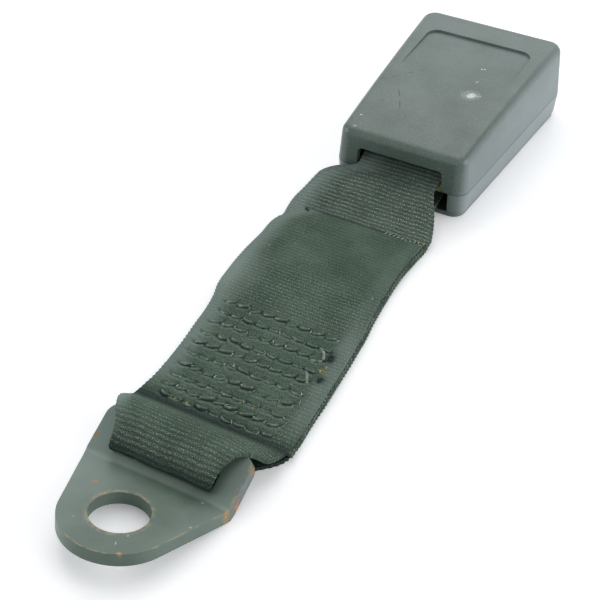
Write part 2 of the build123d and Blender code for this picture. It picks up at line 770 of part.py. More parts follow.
# --- top cover --------------------------------------------------------------------------------------
panel_end = housing_end - panel_end_margin
panel_start = panel_end - panel_length
panel_end_z = top_level(panel_end) - panel_depth
panel_plane = Plane(
    origin=(0, panel_end, panel_end_z),
    x_dir=(1, 0, 0),
    z_dir=(0, top_level(panel_start) - panel_end_z, panel_length),
)
latch_spring_top = top_level(latch_spring_y) - wall - spring_headroom
with BuildPart() as cover_fittings:
    # Bosses over the frame screws and the cover screws
    with BuildSketch(Plane.XY.offset(base_top)):
        with Locations((0, along(frame_screw_distance))):
            with GridLocations(frame_screw_spacing, 0, 2, 1):
                Circle(boss_radius)
    extrude(amount=far_height)
    with BuildSketch(Plane.XY.offset(parting_z)):
        with Locations((0, along(cover_screw_distance))):
            with GridLocations(cover_screw_spacing, 0, 2, 1):
                Circle(boss_radius)
    extrude(amount=far_height)
    # Stops behind the button springs
    stop_y = button_start + spring_bore_depth - button_spring_length
    with BuildSketch(Plane.XY.offset(rail_top + running_clearance)):
        with Locations((0, stop_y)):
            with GridLocations(2 * button_spring_x, 0, 2, 1):
                Rectangle(stop_width, wall, align=(Align.CENTER, Align.MAX))
    extrude(amount=far_height)
    # The post over the latch plate's spring
    with BuildSketch(Plane.XY.offset(latch_spring_top - spigot_length)):
        with Locations((0, latch_spring_y)):
            Circle(spigot_radius)
    extrude(amount=far_height)
    with BuildSketch(Plane.XY.offset(latch_spring_top)):
        with Locations((0, latch_spring_y)):
            Circle(latch_spring_diameter / 2 + running_clearance)
    extrude(amount=far_height)
    add(upper_form(wall / 2), mode=Mode.INTERSECT)
with BuildPart() as top_cover:
    add(upper_form(0))
    add(upper_form(wall), mode=Mode.SUBTRACT)
    add(cover_fittings.part)
    # The webbing slot in the near end
    with BuildSketch(facing_near(housing_start - wall)) as web_slot:
        with Locations((0, parting_z)):
            Rectangle(
                web_slot_width, floor_z + web_slot_top - parting_z, align=(Align.CENTER, Align.MIN)
            )
        fillet(web_slot.vertices().group_by(Axis.Y)[-1], web_slot_radius)
    extrude(amount=-3 * wall, mode=Mode.SUBTRACT)
    # The window for the button and the tongue in the far end
    with BuildSketch(facing_near(housing_end - 2 * wall)) as window:
        with Locations((0, parting_z)):
            Rectangle(
                window_width,
                button_top + running_clearance - parting_z,
                align=(Align.CENTER, Align.MIN),
            )
        fillet(window.vertices().group_by(Axis.Y)[-1], window_corner_radius)
    extrude(amount=-3 * wall, mode=Mode.SUBTRACT)
    # The recessed panel, whose floor runs out towards the near end
    with BuildSketch(panel_plane):
        with Locations((0, 0)):
            RectangleRounded(
                panel_width,
                2 * panel_length,
                panel_corner_radius,
                align=(Align.CENTER, Align.MAX),
            )
    extrude(amount=near_height, mode=Mode.SUBTRACT)
    # Pilot holes, and spigots inside the ends of the button springs
    for distance, spacing in screw_rows:
        with BuildSketch(Plane.XY.offset(parting_z)):
            with Locations((0, along(distance))):
                with GridLocations(spacing, 0, 2, 1):
                    Circle(screw_diameter / 2 + screw_fit)
        extrude(amount=screw_hole_top - parting_z, mode=Mode.SUBTRACT)
    with BuildSketch(facing_near(stop_y)):
        with Locations((0, button_spring_z)):
            with GridLocations(2 * button_spring_x, 0, 2, 1):
                Circle(button_spring_diameter / 2 - spring_wire - spring_play)
    extrude(amount=-spigot_length)
finish_piece(top_cover.part, "top_cover")

# --- screws -----------------------------------------------------------------------------------------
with BuildPart() as cover_screws:
    for distance, spacing in screw_rows:
        with BuildSketch(Plane.XY.offset(screw_seat)):
            with Locations((0, along(distance))):
                with GridLocations(spacing, 0, 2, 1):
                    Circle(screw_diameter / 2)
        extrude(amount=screw_length)
        with BuildSketch(Plane.XY.offset(screw_seat)):
            with Locations((0, along(distance))):
                with GridLocations(spacing, 0, 2, 1):
                    Circle(screw_head_diameter / 2)
        extrude(amount=-screw_head_height)
        # The cross recess for the driver
        with BuildSketch(Plane.XY.offset(screw_seat - screw_head_height)):
            with Locations((0, along(distance))):
                with GridLocations(spacing, 0, 2, 1):
                    Rectangle(screw_diameter, drive_width)
                    Rectangle(drive_width, screw_diameter)
        extrude(amount=screw_head_height * 0.6, mode=Mode.SUBTRACT)
    chamfer(cover_screws.edges().filter_by(GeomType.CIRCLE).group_by(Axis.Z)[-1], drive_width)
finish_piece(cover_screws.part, "cover_screws")

# --- springs ----------------------------------------------------------------------------------------
finish_piece(
    coil_spring(
        (0, spring_seat_y, frame_bar_z),
        (0, 1, 0),
        ejector_spring_length,
        ejector_spring_diameter,
        ejector_spring_turns,
    ),
    "ejector_spring",
)
for side, label in ((-1, "button_spring_left"), (1, "button_spring_right")):
    finish_piece(
        coil_spring(
            (side * button_spring_x, stop_y, button_spring_z),
            (0, 1, 0),
            button_spring_length,
            button_spring_diameter,
            button_spring_turns,
        ),
        label,
    )
finish_piece(
    coil_spring(
        (0, latch_spring_y, latch_z + latch_thickness),
        (0, 0, 1),
        latch_spring_top - latch_z - latch_thickness,
        latch_spring_diameter,
        latch_spring_turns,
    ),
    "latch_spring",
)
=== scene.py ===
import math
import bpy
import bmesh
import numpy as np
from mathutils import Matrix, Vector


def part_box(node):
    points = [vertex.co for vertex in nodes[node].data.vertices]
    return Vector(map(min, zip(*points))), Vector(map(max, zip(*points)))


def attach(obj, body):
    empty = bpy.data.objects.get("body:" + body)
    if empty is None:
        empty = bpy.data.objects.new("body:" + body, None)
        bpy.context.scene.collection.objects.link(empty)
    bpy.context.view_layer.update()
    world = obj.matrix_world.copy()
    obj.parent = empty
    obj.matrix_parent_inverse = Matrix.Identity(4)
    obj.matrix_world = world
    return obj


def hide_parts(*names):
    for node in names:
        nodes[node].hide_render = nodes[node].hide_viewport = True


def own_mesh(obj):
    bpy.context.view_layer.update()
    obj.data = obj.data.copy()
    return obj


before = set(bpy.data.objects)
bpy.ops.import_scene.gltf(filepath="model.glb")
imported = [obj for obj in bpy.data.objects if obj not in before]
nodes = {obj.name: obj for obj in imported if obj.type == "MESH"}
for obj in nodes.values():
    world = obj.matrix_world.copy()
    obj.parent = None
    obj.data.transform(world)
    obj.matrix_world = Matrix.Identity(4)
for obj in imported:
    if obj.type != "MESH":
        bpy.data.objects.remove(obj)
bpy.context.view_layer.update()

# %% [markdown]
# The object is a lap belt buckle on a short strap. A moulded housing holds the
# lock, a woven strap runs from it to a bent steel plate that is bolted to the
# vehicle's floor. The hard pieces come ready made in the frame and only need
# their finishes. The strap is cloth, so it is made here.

mm = 0.001      # a millimetre in metres
floor_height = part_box("webbing")[0].z

# %% [markdown]
# The camera stands near the anchor plate, to its right, and looks down on the
# strap. It could be aimed by a constraint, but two angles and a small roll about
# the line of sight are what a person with a camera on a stand would read off.

# %% Camera
camera_azimuth = math.radians(28.01)
camera_elevation = math.radians(40.27)
camera_roll = math.radians(0.74)
camera_distance = 379.8 * mm
looked_at = Vector((-3.564, 97.677, -5.122)) * mm

camera_turn = (Matrix.Rotation(camera_azimuth, 3, "Z")
               @ Matrix.Rotation(math.pi / 2 - camera_elevation, 3, "X")
               @ Matrix.Rotation(camera_roll, 3, "Z"))
bpy.ops.object.camera_add(
    location=looked_at + camera_turn @ Vector((0, 0, camera_distance)),
    rotation=camera_turn.to_euler())
camera = bpy.context.object
camera.data.lens, camera.data.sensor_width = 77.295, 36.0
camera.data.clip_start, camera.data.clip_end = 0.02, 20.0
bpy.context.scene.camera = camera
# Standard shows a colour as it is written, with no film look on top.
bpy.context.scene.view_settings.view_transform = "Standard"
print("camera at", [round(v, 4) for v in camera.location])

# %% [markdown]
# A material is a small graph of nodes. One helper adds a node and fills its
# inputs, and a few more are made from it for the steps that every finish
# needs. Colours are written as sRGB hex, as a colour picker shows them, and
# turned to the linear values that the shader works in.

# %% Helpers for every finish
def linear(hex_colour):
    """An sRGB hex colour as linear red, green, blue and alpha."""
    parts = [int(hex_colour[i:i + 2], 16) / 255 for i in (1, 3, 5)]
    curve = [c / 12.92 if c <= 0.04045 else ((c + 0.055) / 1.055) ** 2.4 for c in parts]
    return (*curve, 1.0)


def add(tree, kind, inputs=None, **settings):
    """Adds a node; an input takes a value, a hex colour or another node's output."""
    made = tree.nodes.new("ShaderNode" + kind)
    for name, value in settings.items():
        setattr(made, name, value)
    for name, value in (inputs or {}).items():
        if isinstance(value, bpy.types.NodeSocket):
            tree.links.new(value, made.inputs[name])
        else:
            made.inputs[name].default_value = linear(value) if isinstance(value, str) else value
    return made


def maths(tree, operation, first, second=None):
    """One step of arithmetic, with one number or two."""
    inputs = {0: first} if second is None else {0: first, 1: second}
    return add(tree, "Math", inputs, operation=operation).outputs[0]


def between(tree, value, low, high, to_low=0.0, to_high=1.0):
    """The value's way from low to high, as the same way from to_low to to_high."""
    return add(tree, "MapRange", {
        "Value": value, "From Min": low, "From Max": high,
        "To Min": to_low, "To Max": to_high}).outputs[0]


def blend(tree, share, first, second):
    """The first colour, with a share of the second."""
    return add(tree, "Mix", {0: share, 6: first, 7: second}, data_type="RGBA").outputs[2]


def cloudy(tree, place, scale, detail=2.0, roughness=0.5):
    """Soft random patches, 0 to 1."""
    return add(tree, "TexNoise", {
        "Vector": place, "Scale": scale, "Detail": detail,
        "Roughness": roughness}).outputs[0]


def vectors(tree, operation, *inputs):
    """One step of arithmetic with vectors; gives a number where that is what it makes."""
    made = add(tree, "VectorMath", dict(enumerate(inputs)), operation=operation)
    return made.outputs["Value" if operation in ("DOT_PRODUCT", "LENGTH") else "Vector"]


def new_finish(name, **shader_values):
    """An empty material with one Principled shader: material, tree and shader."""
    material = bpy.data.materials.new(name)
    material.use_nodes = True
    shader = material.node_tree.nodes["Principled BSDF"]
    for socket, value in shader_values.items():
        shader.inputs[socket.replace("_", " ")].default_value = value
    return material, material.node_tree, shader


def join_up(tree, shader, relief, **looks):
    """Joins the looks to the shader; relief is height, strength and depth in mm."""
    height, strength, depth = relief
    looks["Normal"] = add(tree, "Bump", {
        "Height": height, "Strength": strength, "Distance": depth * mm}).outputs[0]
    for socket, output in looks.items():
        tree.links.new(output, shader.inputs[socket.replace("_", " ")])


def dress(piece, finish):
    """Gives a piece one finish and no other."""
    piece.data.materials.clear()
    piece.data.materials.append(finish)


def edit_mode(on):
    """Goes into edit mode or out of it."""
    bpy.ops.object.mode_set(mode="EDIT" if on else "OBJECT")


print("polyester green is", [round(c, 3) for c in linear("#4a5b52")[:3]])

# %% [markdown]
# The floor is a flat sheet of white paper. More light would make the background
# white too, but it would bleach the dark green, so the paper's own white does
# it, and the soft shadows under the strap stay on the paper.

# %% Paper floor
paper_size = 6.0
paper_gap = 0.05 * mm      # keeps the paper off the lowest faces
bpy.ops.mesh.primitive_plane_add(size=paper_size)
paper_floor = bpy.context.object
paper_floor.name = "paper_floor"
edit_mode(True)
bpy.ops.transform.translate(value=(0, 0.1, floor_height - paper_gap))
edit_mode(False)

# Coated white paper: almost all light comes back, with a faint soft gloss.
white_paper, paper, paper_shader = new_finish(
    "coated_white_paper", Base_Color=linear("#fefeff"), Roughness=0.32,
    Specular_IOR_Level=0.25)
dress(paper_floor, white_paper)
# The camera sees the paper a little brighter than it lights the object.
paper_lift = 0.2
seen_by_camera = add(paper, "LightPath").outputs["Is Camera Ray"]
paper_shader.inputs["Emission Color"].default_value = linear("#ffffff")
paper.links.new(maths(paper, "MULTIPLY", seen_by_camera, paper_lift),
                paper_shader.inputs["Emission Strength"])
print("floor at", round(floor_height * 1000, 3), "mm")

# %% [markdown]
# The light is a bright white room, as in a light tent: brightest at the far
# walls and dim behind the camera, so faces turned to the camera are darker. One
# even sky would be simpler, but it makes all faces alike. A large soft lamp
# high behind gives the tops their sheen; two reflectors fill the sides, so the
# shadows stay short.

# %% Room and lamps
far_wall_level, near_wall_level = 0.86, 0.44
horizon_share, ceiling_share = 1.1, 0.5
world = bpy.data.worlds.new("white_room")
bpy.context.scene.world = world
world.use_nodes = True
room = world.node_tree
room.nodes.clear()
room_place = add(room, "TexCoord").outputs["Generated"]
frontness = vectors(room, "DOT_PRODUCT", room_place, (0.25, -0.96, -0.1))
wall_level = between(room, frontness, -0.3, 0.9, far_wall_level, near_wall_level)
room_height = add(room, "SeparateXYZ", {0: room_place}).outputs["Z"]
height_share = between(room, room_height, 0.0, 1.0, horizon_share, ceiling_share)
room_light = add(room, "Background", {
    "Color": "#f8fbff",
    "Strength": maths(room, "MULTIPLY", wall_level, height_share)})
room_backdrop = add(room, "Background", {"Color": "#ffffff", "Strength": 1.0})
light_path = add(room, "LightPath").outputs
seen_or_mirrored = maths(room, "MAXIMUM", light_path["Is Camera Ray"],
                         light_path["Is Glossy Ray"])
whole_room = add(room, "MixShader", {
    0: seen_or_mirrored, 1: room_light.outputs[0], 2: room_backdrop.outputs[0]})
add(room, "OutputWorld", {"Surface": whole_room.outputs[0]})


def hang_lamp(name, place, aimed_at, size, watts):
    """A square soft lamp at a place, turned to a point."""
    bpy.ops.object.light_add(type="AREA", location=place)
    lamp = bpy.context.object
    lamp.name = name
    lamp.data.size = size
    lamp.data.energy = watts
    lamp.rotation_euler = (Vector(aimed_at) - Vector(place)).to_track_quat("-Z", "Y").to_euler()


strap_middle = (0.0, 0.1, 0.0)
housing_middle = (0.0, 0.2, 0.0)
hang_lamp("overhead_soft_lamp", (-0.24, 0.58, 0.9), strap_middle, 1.0, 4.0)
hang_lamp("right_reflector", (0.95, 0.28, 0.32), housing_middle, 0.9, 5.4)
hang_lamp("left_reflector", (-0.9, -0.35, 0.3), strap_middle, 0.6, 3.4)

# %% [markdown]
# The housing is moulded ABS, a tough plastic with a fine spark-eroded grain
# from the mould. Years of use rub the grain flat and leave pale scuffs and
# short scratches. The grain could be modelled, but at a tenth of a millimetre
# it is only seen as a soft break in the gloss, so it is a bump in the shader.

# %% Worn moulded ABS
grain_size = 0.45       # mm; the real 0.1 mm grain drawn as coarse as it needs to show
housing_near, housing_far = 0.1564, 0.2364
near_half_width, far_half_width = 0.0226, 0.0273
parting_height = floor_height + 8.9 * mm
foot_line_height = floor_height + 1.6 * mm
seam_half_width = 0.16 * mm


def scuff(tree, object_place, start, end, half_width):
    """A mask, 1 on a rub mark between two points of the top, in mm."""
    middle = [(a + b) / 2 * mm for a, b in zip(start, end)]
    length = math.dist(start, end) / 2 + half_width
    heading = math.atan2(end[1] - start[1], end[0] - start[0])
    local = add(tree, "Mapping", {
        "Vector": object_place,
        "Location": (*middle, 0.0),
        "Rotation": (0, 0, heading),
        "Scale": (length * mm, half_width * mm, 1.0),
    }, vector_type="TEXTURE").outputs[0]
    flat = vectors(tree, "MULTIPLY", local, (1, 1, 0))
    return between(tree, vectors(tree, "LENGTH", flat), 1.0, 0.35)


def thin_line(tree, height_socket, height, half_width):
    """A mask, 1 where a height is within half_width of the given one."""
    gap = maths(tree, "ABSOLUTE", maths(tree, "SUBTRACT", height_socket, height))
    return between(tree, gap, half_width * 1.6, half_width * 0.5, 0.0, 0.85)


def moulded_plastic(name, shade, rubbed_shade, roughness, marks=(), seams=(), painted_side_sheen=0.0):
    """Grained moulded plastic, paler in rubbed patches, with marks, seams and painted side
    sheen.
    """
    material, tree, shader = new_finish(name, Roughness=roughness, IOR=1.53)
    place = add(tree, "TexCoord").outputs["Object"]
    patches = cloudy(tree, place, 55.0, 5.0, 0.6)
    grain = cloudy(tree, place, 1 / (grain_size * mm))
    dust = cloudy(tree, place, 900.0, 1.0)
    place_parts = add(tree, "SeparateXYZ", {0: place}).outputs
    # The top goes from darker and greener at the near end to greyer and paler at the far end,
    # where the button is.
    far_end_share = between(tree, place_parts["Y"], housing_near, housing_far, -0.25, 0.3)
    speckled = maths(tree, "ADD", maths(tree, "ADD", patches, far_end_share), grain)
    colour = blend(tree, between(tree, speckled, 0.6, 1.42), shade, rubbed_shade)
    colour = blend(tree, between(tree, dust, 0.72, 0.8, 0.0, 0.25), colour, "#9aa39d")
    # The side walls are painted paler and bluer: painted sheen of the white floor and room on
    # them.
    wall_reach = between(tree, place_parts["Y"], housing_near, housing_far,
                         near_half_width, far_half_width)
    side_reach = maths(tree, "ABSOLUTE", place_parts["X"])
    over_wall = maths(tree, "SUBTRACT", side_reach, wall_reach)
    side_sheen_share = between(tree, over_wall, -2.2 * mm, -0.5 * mm, 0.0, painted_side_sheen)
    colour = blend(tree, side_sheen_share, colour, "#98a1a6")
    for start, end, half_width, mark_shade, strength in marks:
        mask = scuff(tree, place, start, end, half_width)
        level = between(tree, maths(tree, "MULTIPLY", mask, grain), 0.2, 0.45, 0.0, strength)
        colour = blend(tree, level, colour, mark_shade)
    for seam_height in seams:
        line = thin_line(tree, place_parts["Z"], seam_height, seam_half_width)
        colour = blend(tree, line, colour, "#2d3634")
    gloss = between(tree, patches, 0.0, 1.0, roughness + 0.1, roughness - 0.08)
    join_up(tree, shader, (grain, 0.6, 0.05), Base_Color=colour, Roughness=gloss)
    return material


# Each mark: its two ends and half width in mm, its shade and its strength.
top_marks = (
    ((8.4, 190.0), (10.2, 190.6), 4.4, "#a0a9a4", 0.4),      # cloudy scuff
    ((9.3, 189.7), (10.1, 190.5), 2.0, "#dfe4e0", 0.75),
    ((11.3, 190.6), (12.6, 191.2), 0.9, "#b3bbb6", 0.45),
    ((6.6, 206.4), (6.8, 206.5), 0.45, "#d9ddd8", 0.9),       # small knocks
    ((7.5, 206.8), (7.7, 206.9), 0.45, "#d9ddd8", 0.9),
    ((8.2, 197.6), (8.5, 198.8), 0.5, "#a9b2ac", 0.7),
    ((-18.2, 165.4), (-18.1, 165.6), 0.4, "#d9ddd8", 0.8),
    ((-17.6, 159.5), (-17.1, 159.7), 0.9, "#98a29d", 0.6),
    ((-22.0, 185.4), (-19.2, 187.4), 0.34, "#2c3631", 1.0),   # broken scratch
    ((-18.6, 188.0), (-16.4, 190.6), 0.3, "#2c3631", 0.9),
    ((-14.6, 192.6), (-12.6, 194.5), 0.32, "#2c3631", 0.9),
    ((-11.4, 195.7), (-9.7, 197.3), 0.3, "#2c3631", 0.8),
    ((-13.5, 183.8), (-10.7, 179.0), 0.36, "#2f3a34", 1.0),   # bowed scratch
    ((-10.7, 179.0), (-7.9, 172.8), 0.36, "#2b3630", 1.0),
    ((1.0, 211.4), (1.6, 211.6), 0.25, "#3d4641", 0.6),
    ((6.2, 209.9), (6.6, 210.0), 0.25, "#3d4641", 0.6),
    ((18.6, 193.0), (18.8, 194.4), 0.3, "#39423c", 0.7),
)
dress(nodes["top_cover"], moulded_plastic(
    "worn_moulded_abs", "#43534a", "#687773", 0.31, top_marks, (parting_height,), 0.42))
dress(nodes["bottom_cover"], moulded_plastic(
    "moulded_abs_base", "#5c6864", "#7a8584", 0.32, (),
    (parting_height, foot_line_height), 0.55))
print("rub marks on the cover", len(top_marks))

# %% [markdown]
# The small mouldings inside are other plastics: the guide round the mouth is
# black acetal, the ejector is acetal without colour, and the release button is
# ABS dyed through. They are smoother than the housing, because they slide. Each
# could have marks of its own, but little of them is seen, so one short function
# with another colour and gloss tells the plastics apart.

# %% Sliding mouldings
for node, finish in (
    ("mouth_guide", moulded_plastic("black_acetal", "#191b1c", "#26292a", 0.35)),
    ("ejector", moulded_plastic("natural_acetal", "#d8d4c4", "#e2dfd2", 0.38)),
    ("release_button", moulded_plastic("dyed_abs_button", "#8e1d16", "#a5352c", 0.33)),
):
    dress(nodes[node], finish)
print("button red", [round(c, 3) for c in linear("#8e1d16")[:3]])

# %% [markdown]
# The lock is steel with several finishes: drawn spring wire, a ground pin,
# bright zinc on the latch and yellow passivated zinc on the frame. Each could
# be drawn on its own, but what the eye reads is the colour of the plating and
# the lines of the last tool, so one function draws them all, and the frame gets
# rust where damp got in.

# %% Plated and bare steels
def plated_steel(name, shade, dull_shade, roughness, line_spacing, rust=0.0):
    """Metal with fine tool lines across it and, where asked, patches of rust."""
    material, tree, shader = new_finish(name, Metallic=1.0, Roughness=roughness)
    place = add(tree, "TexCoord").outputs["Object"]
    stretched = add(tree, "Mapping", {"Vector": place, "Scale": (1.0, 0.06, 1.0)}).outputs[0]
    lines = cloudy(tree, stretched, 1 / (line_spacing * mm), 3.0)
    clouds = cloudy(tree, place, 160.0, 4.0)
    colour = blend(tree, between(tree, clouds, 0.4, 0.62), shade, dull_shade)
    looks = {"Roughness": between(tree, lines, 0.0, 1.0, roughness - 0.08, roughness + 0.12)}
    if rust:
        bloom = cloudy(tree, place, 260.0, 6.0, 0.7)
        rusty = between(tree, bloom, 0.66 - rust * 0.2, 0.74 - rust * 0.2)
        colour = blend(tree, rusty, colour, blend(tree, lines, "#7d5a26", "#d1a85c"))
        looks["Roughness"] = add(tree, "Mix", {0: rusty, 2: looks["Roughness"], 3: 0.85},
                                 data_type="FLOAT").outputs[0]
        looks["Metallic"] = between(tree, rusty, 0.0, 1.0, 1.0, 0.0)
    join_up(tree, shader, (lines, 0.25, 0.02), Base_Color=colour, **looks)
    return material


drawn_wire = plated_steel("drawn_spring_wire", "#9b9da0", "#86898c", 0.3, 0.1)
for node, finish in (
    ("frame", plated_steel("yellow_zinc_on_steel", "#c9c48a", "#a9aa72", 0.55, 0.3, 0.62)),
    ("latch_plate", plated_steel("bright_zinc_on_steel", "#b4b8ba", "#9fa5a8", 0.32, 0.25)),
    ("latch_pin", plated_steel("ground_steel", "#b9bbbd", "#a6a9ab", 0.22, 0.12)),
    ("cover_screws", plated_steel("black_oxide_on_steel", "#2b2c2e", "#1e1f21", 0.42, 0.2)),
    ("pin_clip", drawn_wire),
    ("latch_spring", drawn_wire),
    ("ejector_spring", drawn_wire),
    ("button_spring_left", drawn_wire),
    ("button_spring_right", drawn_wire),
):
    dress(nodes[node], finish)
print("finishes so far", len(bpy.data.materials))

# %% [markdown]
# The anchor plate was stamped, bent and dipped in satin green paint. Paint is
# thin over sharp edges, so it goes there first: bare bright steel on the long
# edges, ochre rust round the bolt hole and in a few chips. The wear could be
# painted by hand on an image, but masks built from the plate's own measures,
# its hole, its nose and its width, stay sharp and fit the shape exactly.

# %% Chipped satin paint on the plate
hole_radius = 7.7
nose_radius = 15.2
wing_half_width = 21.5
flat_length = 16.5       # hole to the bend
flat_tilt = math.radians(12.5)

plate_paint, paint, plate_shader = new_finish("chipped_satin_paint", Roughness=0.4)
plate_place = add(paint, "TexCoord").outputs["Object"]
in_mm = vectors(paint, "MULTIPLY", plate_place, (1000.0, 1000.0, 1000.0))
plate_x = add(paint, "SeparateXYZ", {0: in_mm}).outputs["X"]
# Distances on the tilted flat: back from the hole, and up from the sheet's middle.
tilt_cos, tilt_sin = math.cos(flat_tilt), math.sin(flat_tilt)
flat_back = vectors(paint, "DOT_PRODUCT", in_mm, (0.0, tilt_cos, -tilt_sin))
flat_up = vectors(paint, "DOT_PRODUCT", in_mm, (0.0, tilt_sin, tilt_cos))
on_plan = add(paint, "CombineXYZ", {"X": plate_x, "Y": flat_back}).outputs[0]
from_hole = vectors(paint, "LENGTH", on_plan)
chip_noise = cloudy(paint, in_mm, 0.55, 6.0, 0.65)
fine_noise = cloudy(paint, in_mm, 2.6, 3.0)
cloud_noise = cloudy(paint, in_mm, 0.09, 4.0)


def band(value, inner, outer, height=1.0):
    """0 at inner, height at outer, straight between."""
    return between(paint, value, inner, outer, 0.0, height)


def both(first, second, operation="MULTIPLY"):
    """Two masks taken together."""
    return maths(paint, operation, first, second)


side_distance = maths(paint, "ABSOLUTE", plate_x)
top_face = both(band(flat_up, 1.55, 1.72), band(flat_back, 16.0, 15.0))
hole_rim = both(band(from_hole, hole_radius + 1.3, hole_radius + 0.4), top_face)
# The plan is a round nose and, from a tangent point on, a straight flank.
flank_angle = math.atan2(flat_length, wing_half_width) - math.acos(
    nose_radius / math.hypot(wing_half_width, flat_length))
to_flank = both(both(side_distance, math.cos(flank_angle)),
                both(flat_back, math.sin(flank_angle)), "ADD")
past_tangent = both(both(side_distance, -math.tan(flank_angle)), flat_back, "ADD")
outline_reach = add(paint, "Mix", {
    0: band(past_tangent, -0.01, 0.01), 2: from_hole, 3: to_flank},
    data_type="FLOAT").outputs[0]
nose_line = both(band(outline_reach, nose_radius - 0.42, nose_radius - 0.15), top_face)
nose_line = both(nose_line, band(plate_x, -13.0, -5.0))
right_wall = band(plate_x, wing_half_width - 0.55, wing_half_width - 0.1)
steel_shows = both(right_wall, band(chip_noise, 0.42, 0.52))
wing_rust = both(band(plate_x, wing_half_width - 1.3, wing_half_width - 0.4),
                 band(chip_noise, 0.5, 0.58))
ring_rust = both(hole_rim, band(chip_noise, 0.42, 0.6, 0.75))
line_rust = both(nose_line, band(chip_noise, 0.47, 0.57, 0.7))
rust_shows = both(both(wing_rust, ring_rust, "MAXIMUM"), line_rust, "MAXIMUM")

coat = blend(paint, band(cloud_noise, 0.35, 0.65), "#485a4e", "#586a5f")
# The two flanks are painted paler: painted reflection of the white room, seen at a grazing
# angle.
painted_flank_sheen = both(band(plate_x, 2.0, -18.0, 0.42), band(plate_x, 11.0, 20.0, 0.32), "MAXIMUM")
coat = blend(paint, painted_flank_sheen, coat, "#8b9a94")
coat = blend(paint, band(fine_noise, 0.7, 0.76, 0.5), coat, "#8b968e")
# Each chip: its two ends and half width in mm, and its shade.
chips = (
    ((-21.6, 19.8), (-20.8, 20.2), 0.8, "#9a6a3c"),
    ((-11.9, 6.5), (-11.3, 6.8), 0.6, "#a5743f"),
    ((8.1, -11.8), (8.7, -11.5), 0.5, "#b98a4a"),
    ((5.4, -8.7), (6.0, -9.7), 0.2, "#a9b3aa"),
    ((21.4, 17.6), (21.6, 20.6), 0.5, "#b5762f"),
    ((20.9, 14.4), (21.2, 15.6), 0.5, "#b08a52"),
    ((21.3, 25.6), (21.5, 28.2), 0.45, "#a3722f"),
    ((-8.1, -7.1), (-8.0, -7.0), 0.25, "#b0934e"),
    ((6.5, -5.6), (6.6, -5.4), 0.25, "#aebcae"),
    ((16.7, 5.2), (17.0, 5.4), 0.35, "#c3a064"),
    ((14.2, 14.6), (14.4, 14.8), 0.25, "#aebcae"),
)
for start, end, half_width, chip_shade in chips:
    chip = scuff(paint, plate_place, start, end, half_width)
    coat = blend(paint, chip, coat, chip_shade)
rust_colour = blend(paint, band(fine_noise, 0.35, 0.65), "#aaa581", "#8c7040")
coat = blend(paint, rust_shows, coat, rust_colour)
coat = blend(paint, steel_shows, coat, "#7c8385")
bare_metal = 0.7
join_up(paint, plate_shader, (chip_noise, 0.3, 0.12), Base_Color=coat,
        Metallic=both(steel_shows, bare_metal),
        Roughness=between(paint, chip_noise, 0.0, 1.0, 0.24, 0.46))
dress(nodes["anchor_plate"], plate_paint)
print("chips drawn on the plate", len(chips))

# %% [markdown]
# The strap is one length of 48 mm polyester seat belt webbing. Its cut end
# lies on top, it runs down to the plate, turns round the plate's bar, comes
# back underneath, turns round the bar in the housing and ends between the two
# other layers. Such a band could be extruded along a curve, but cloth keeps
# its cut size, so here a flat grid with the real cut size is laid along the
# route. Its UV map then stays square with the weave wherever the band bends.

# %% The strap's route
strap_thickness = 1.12
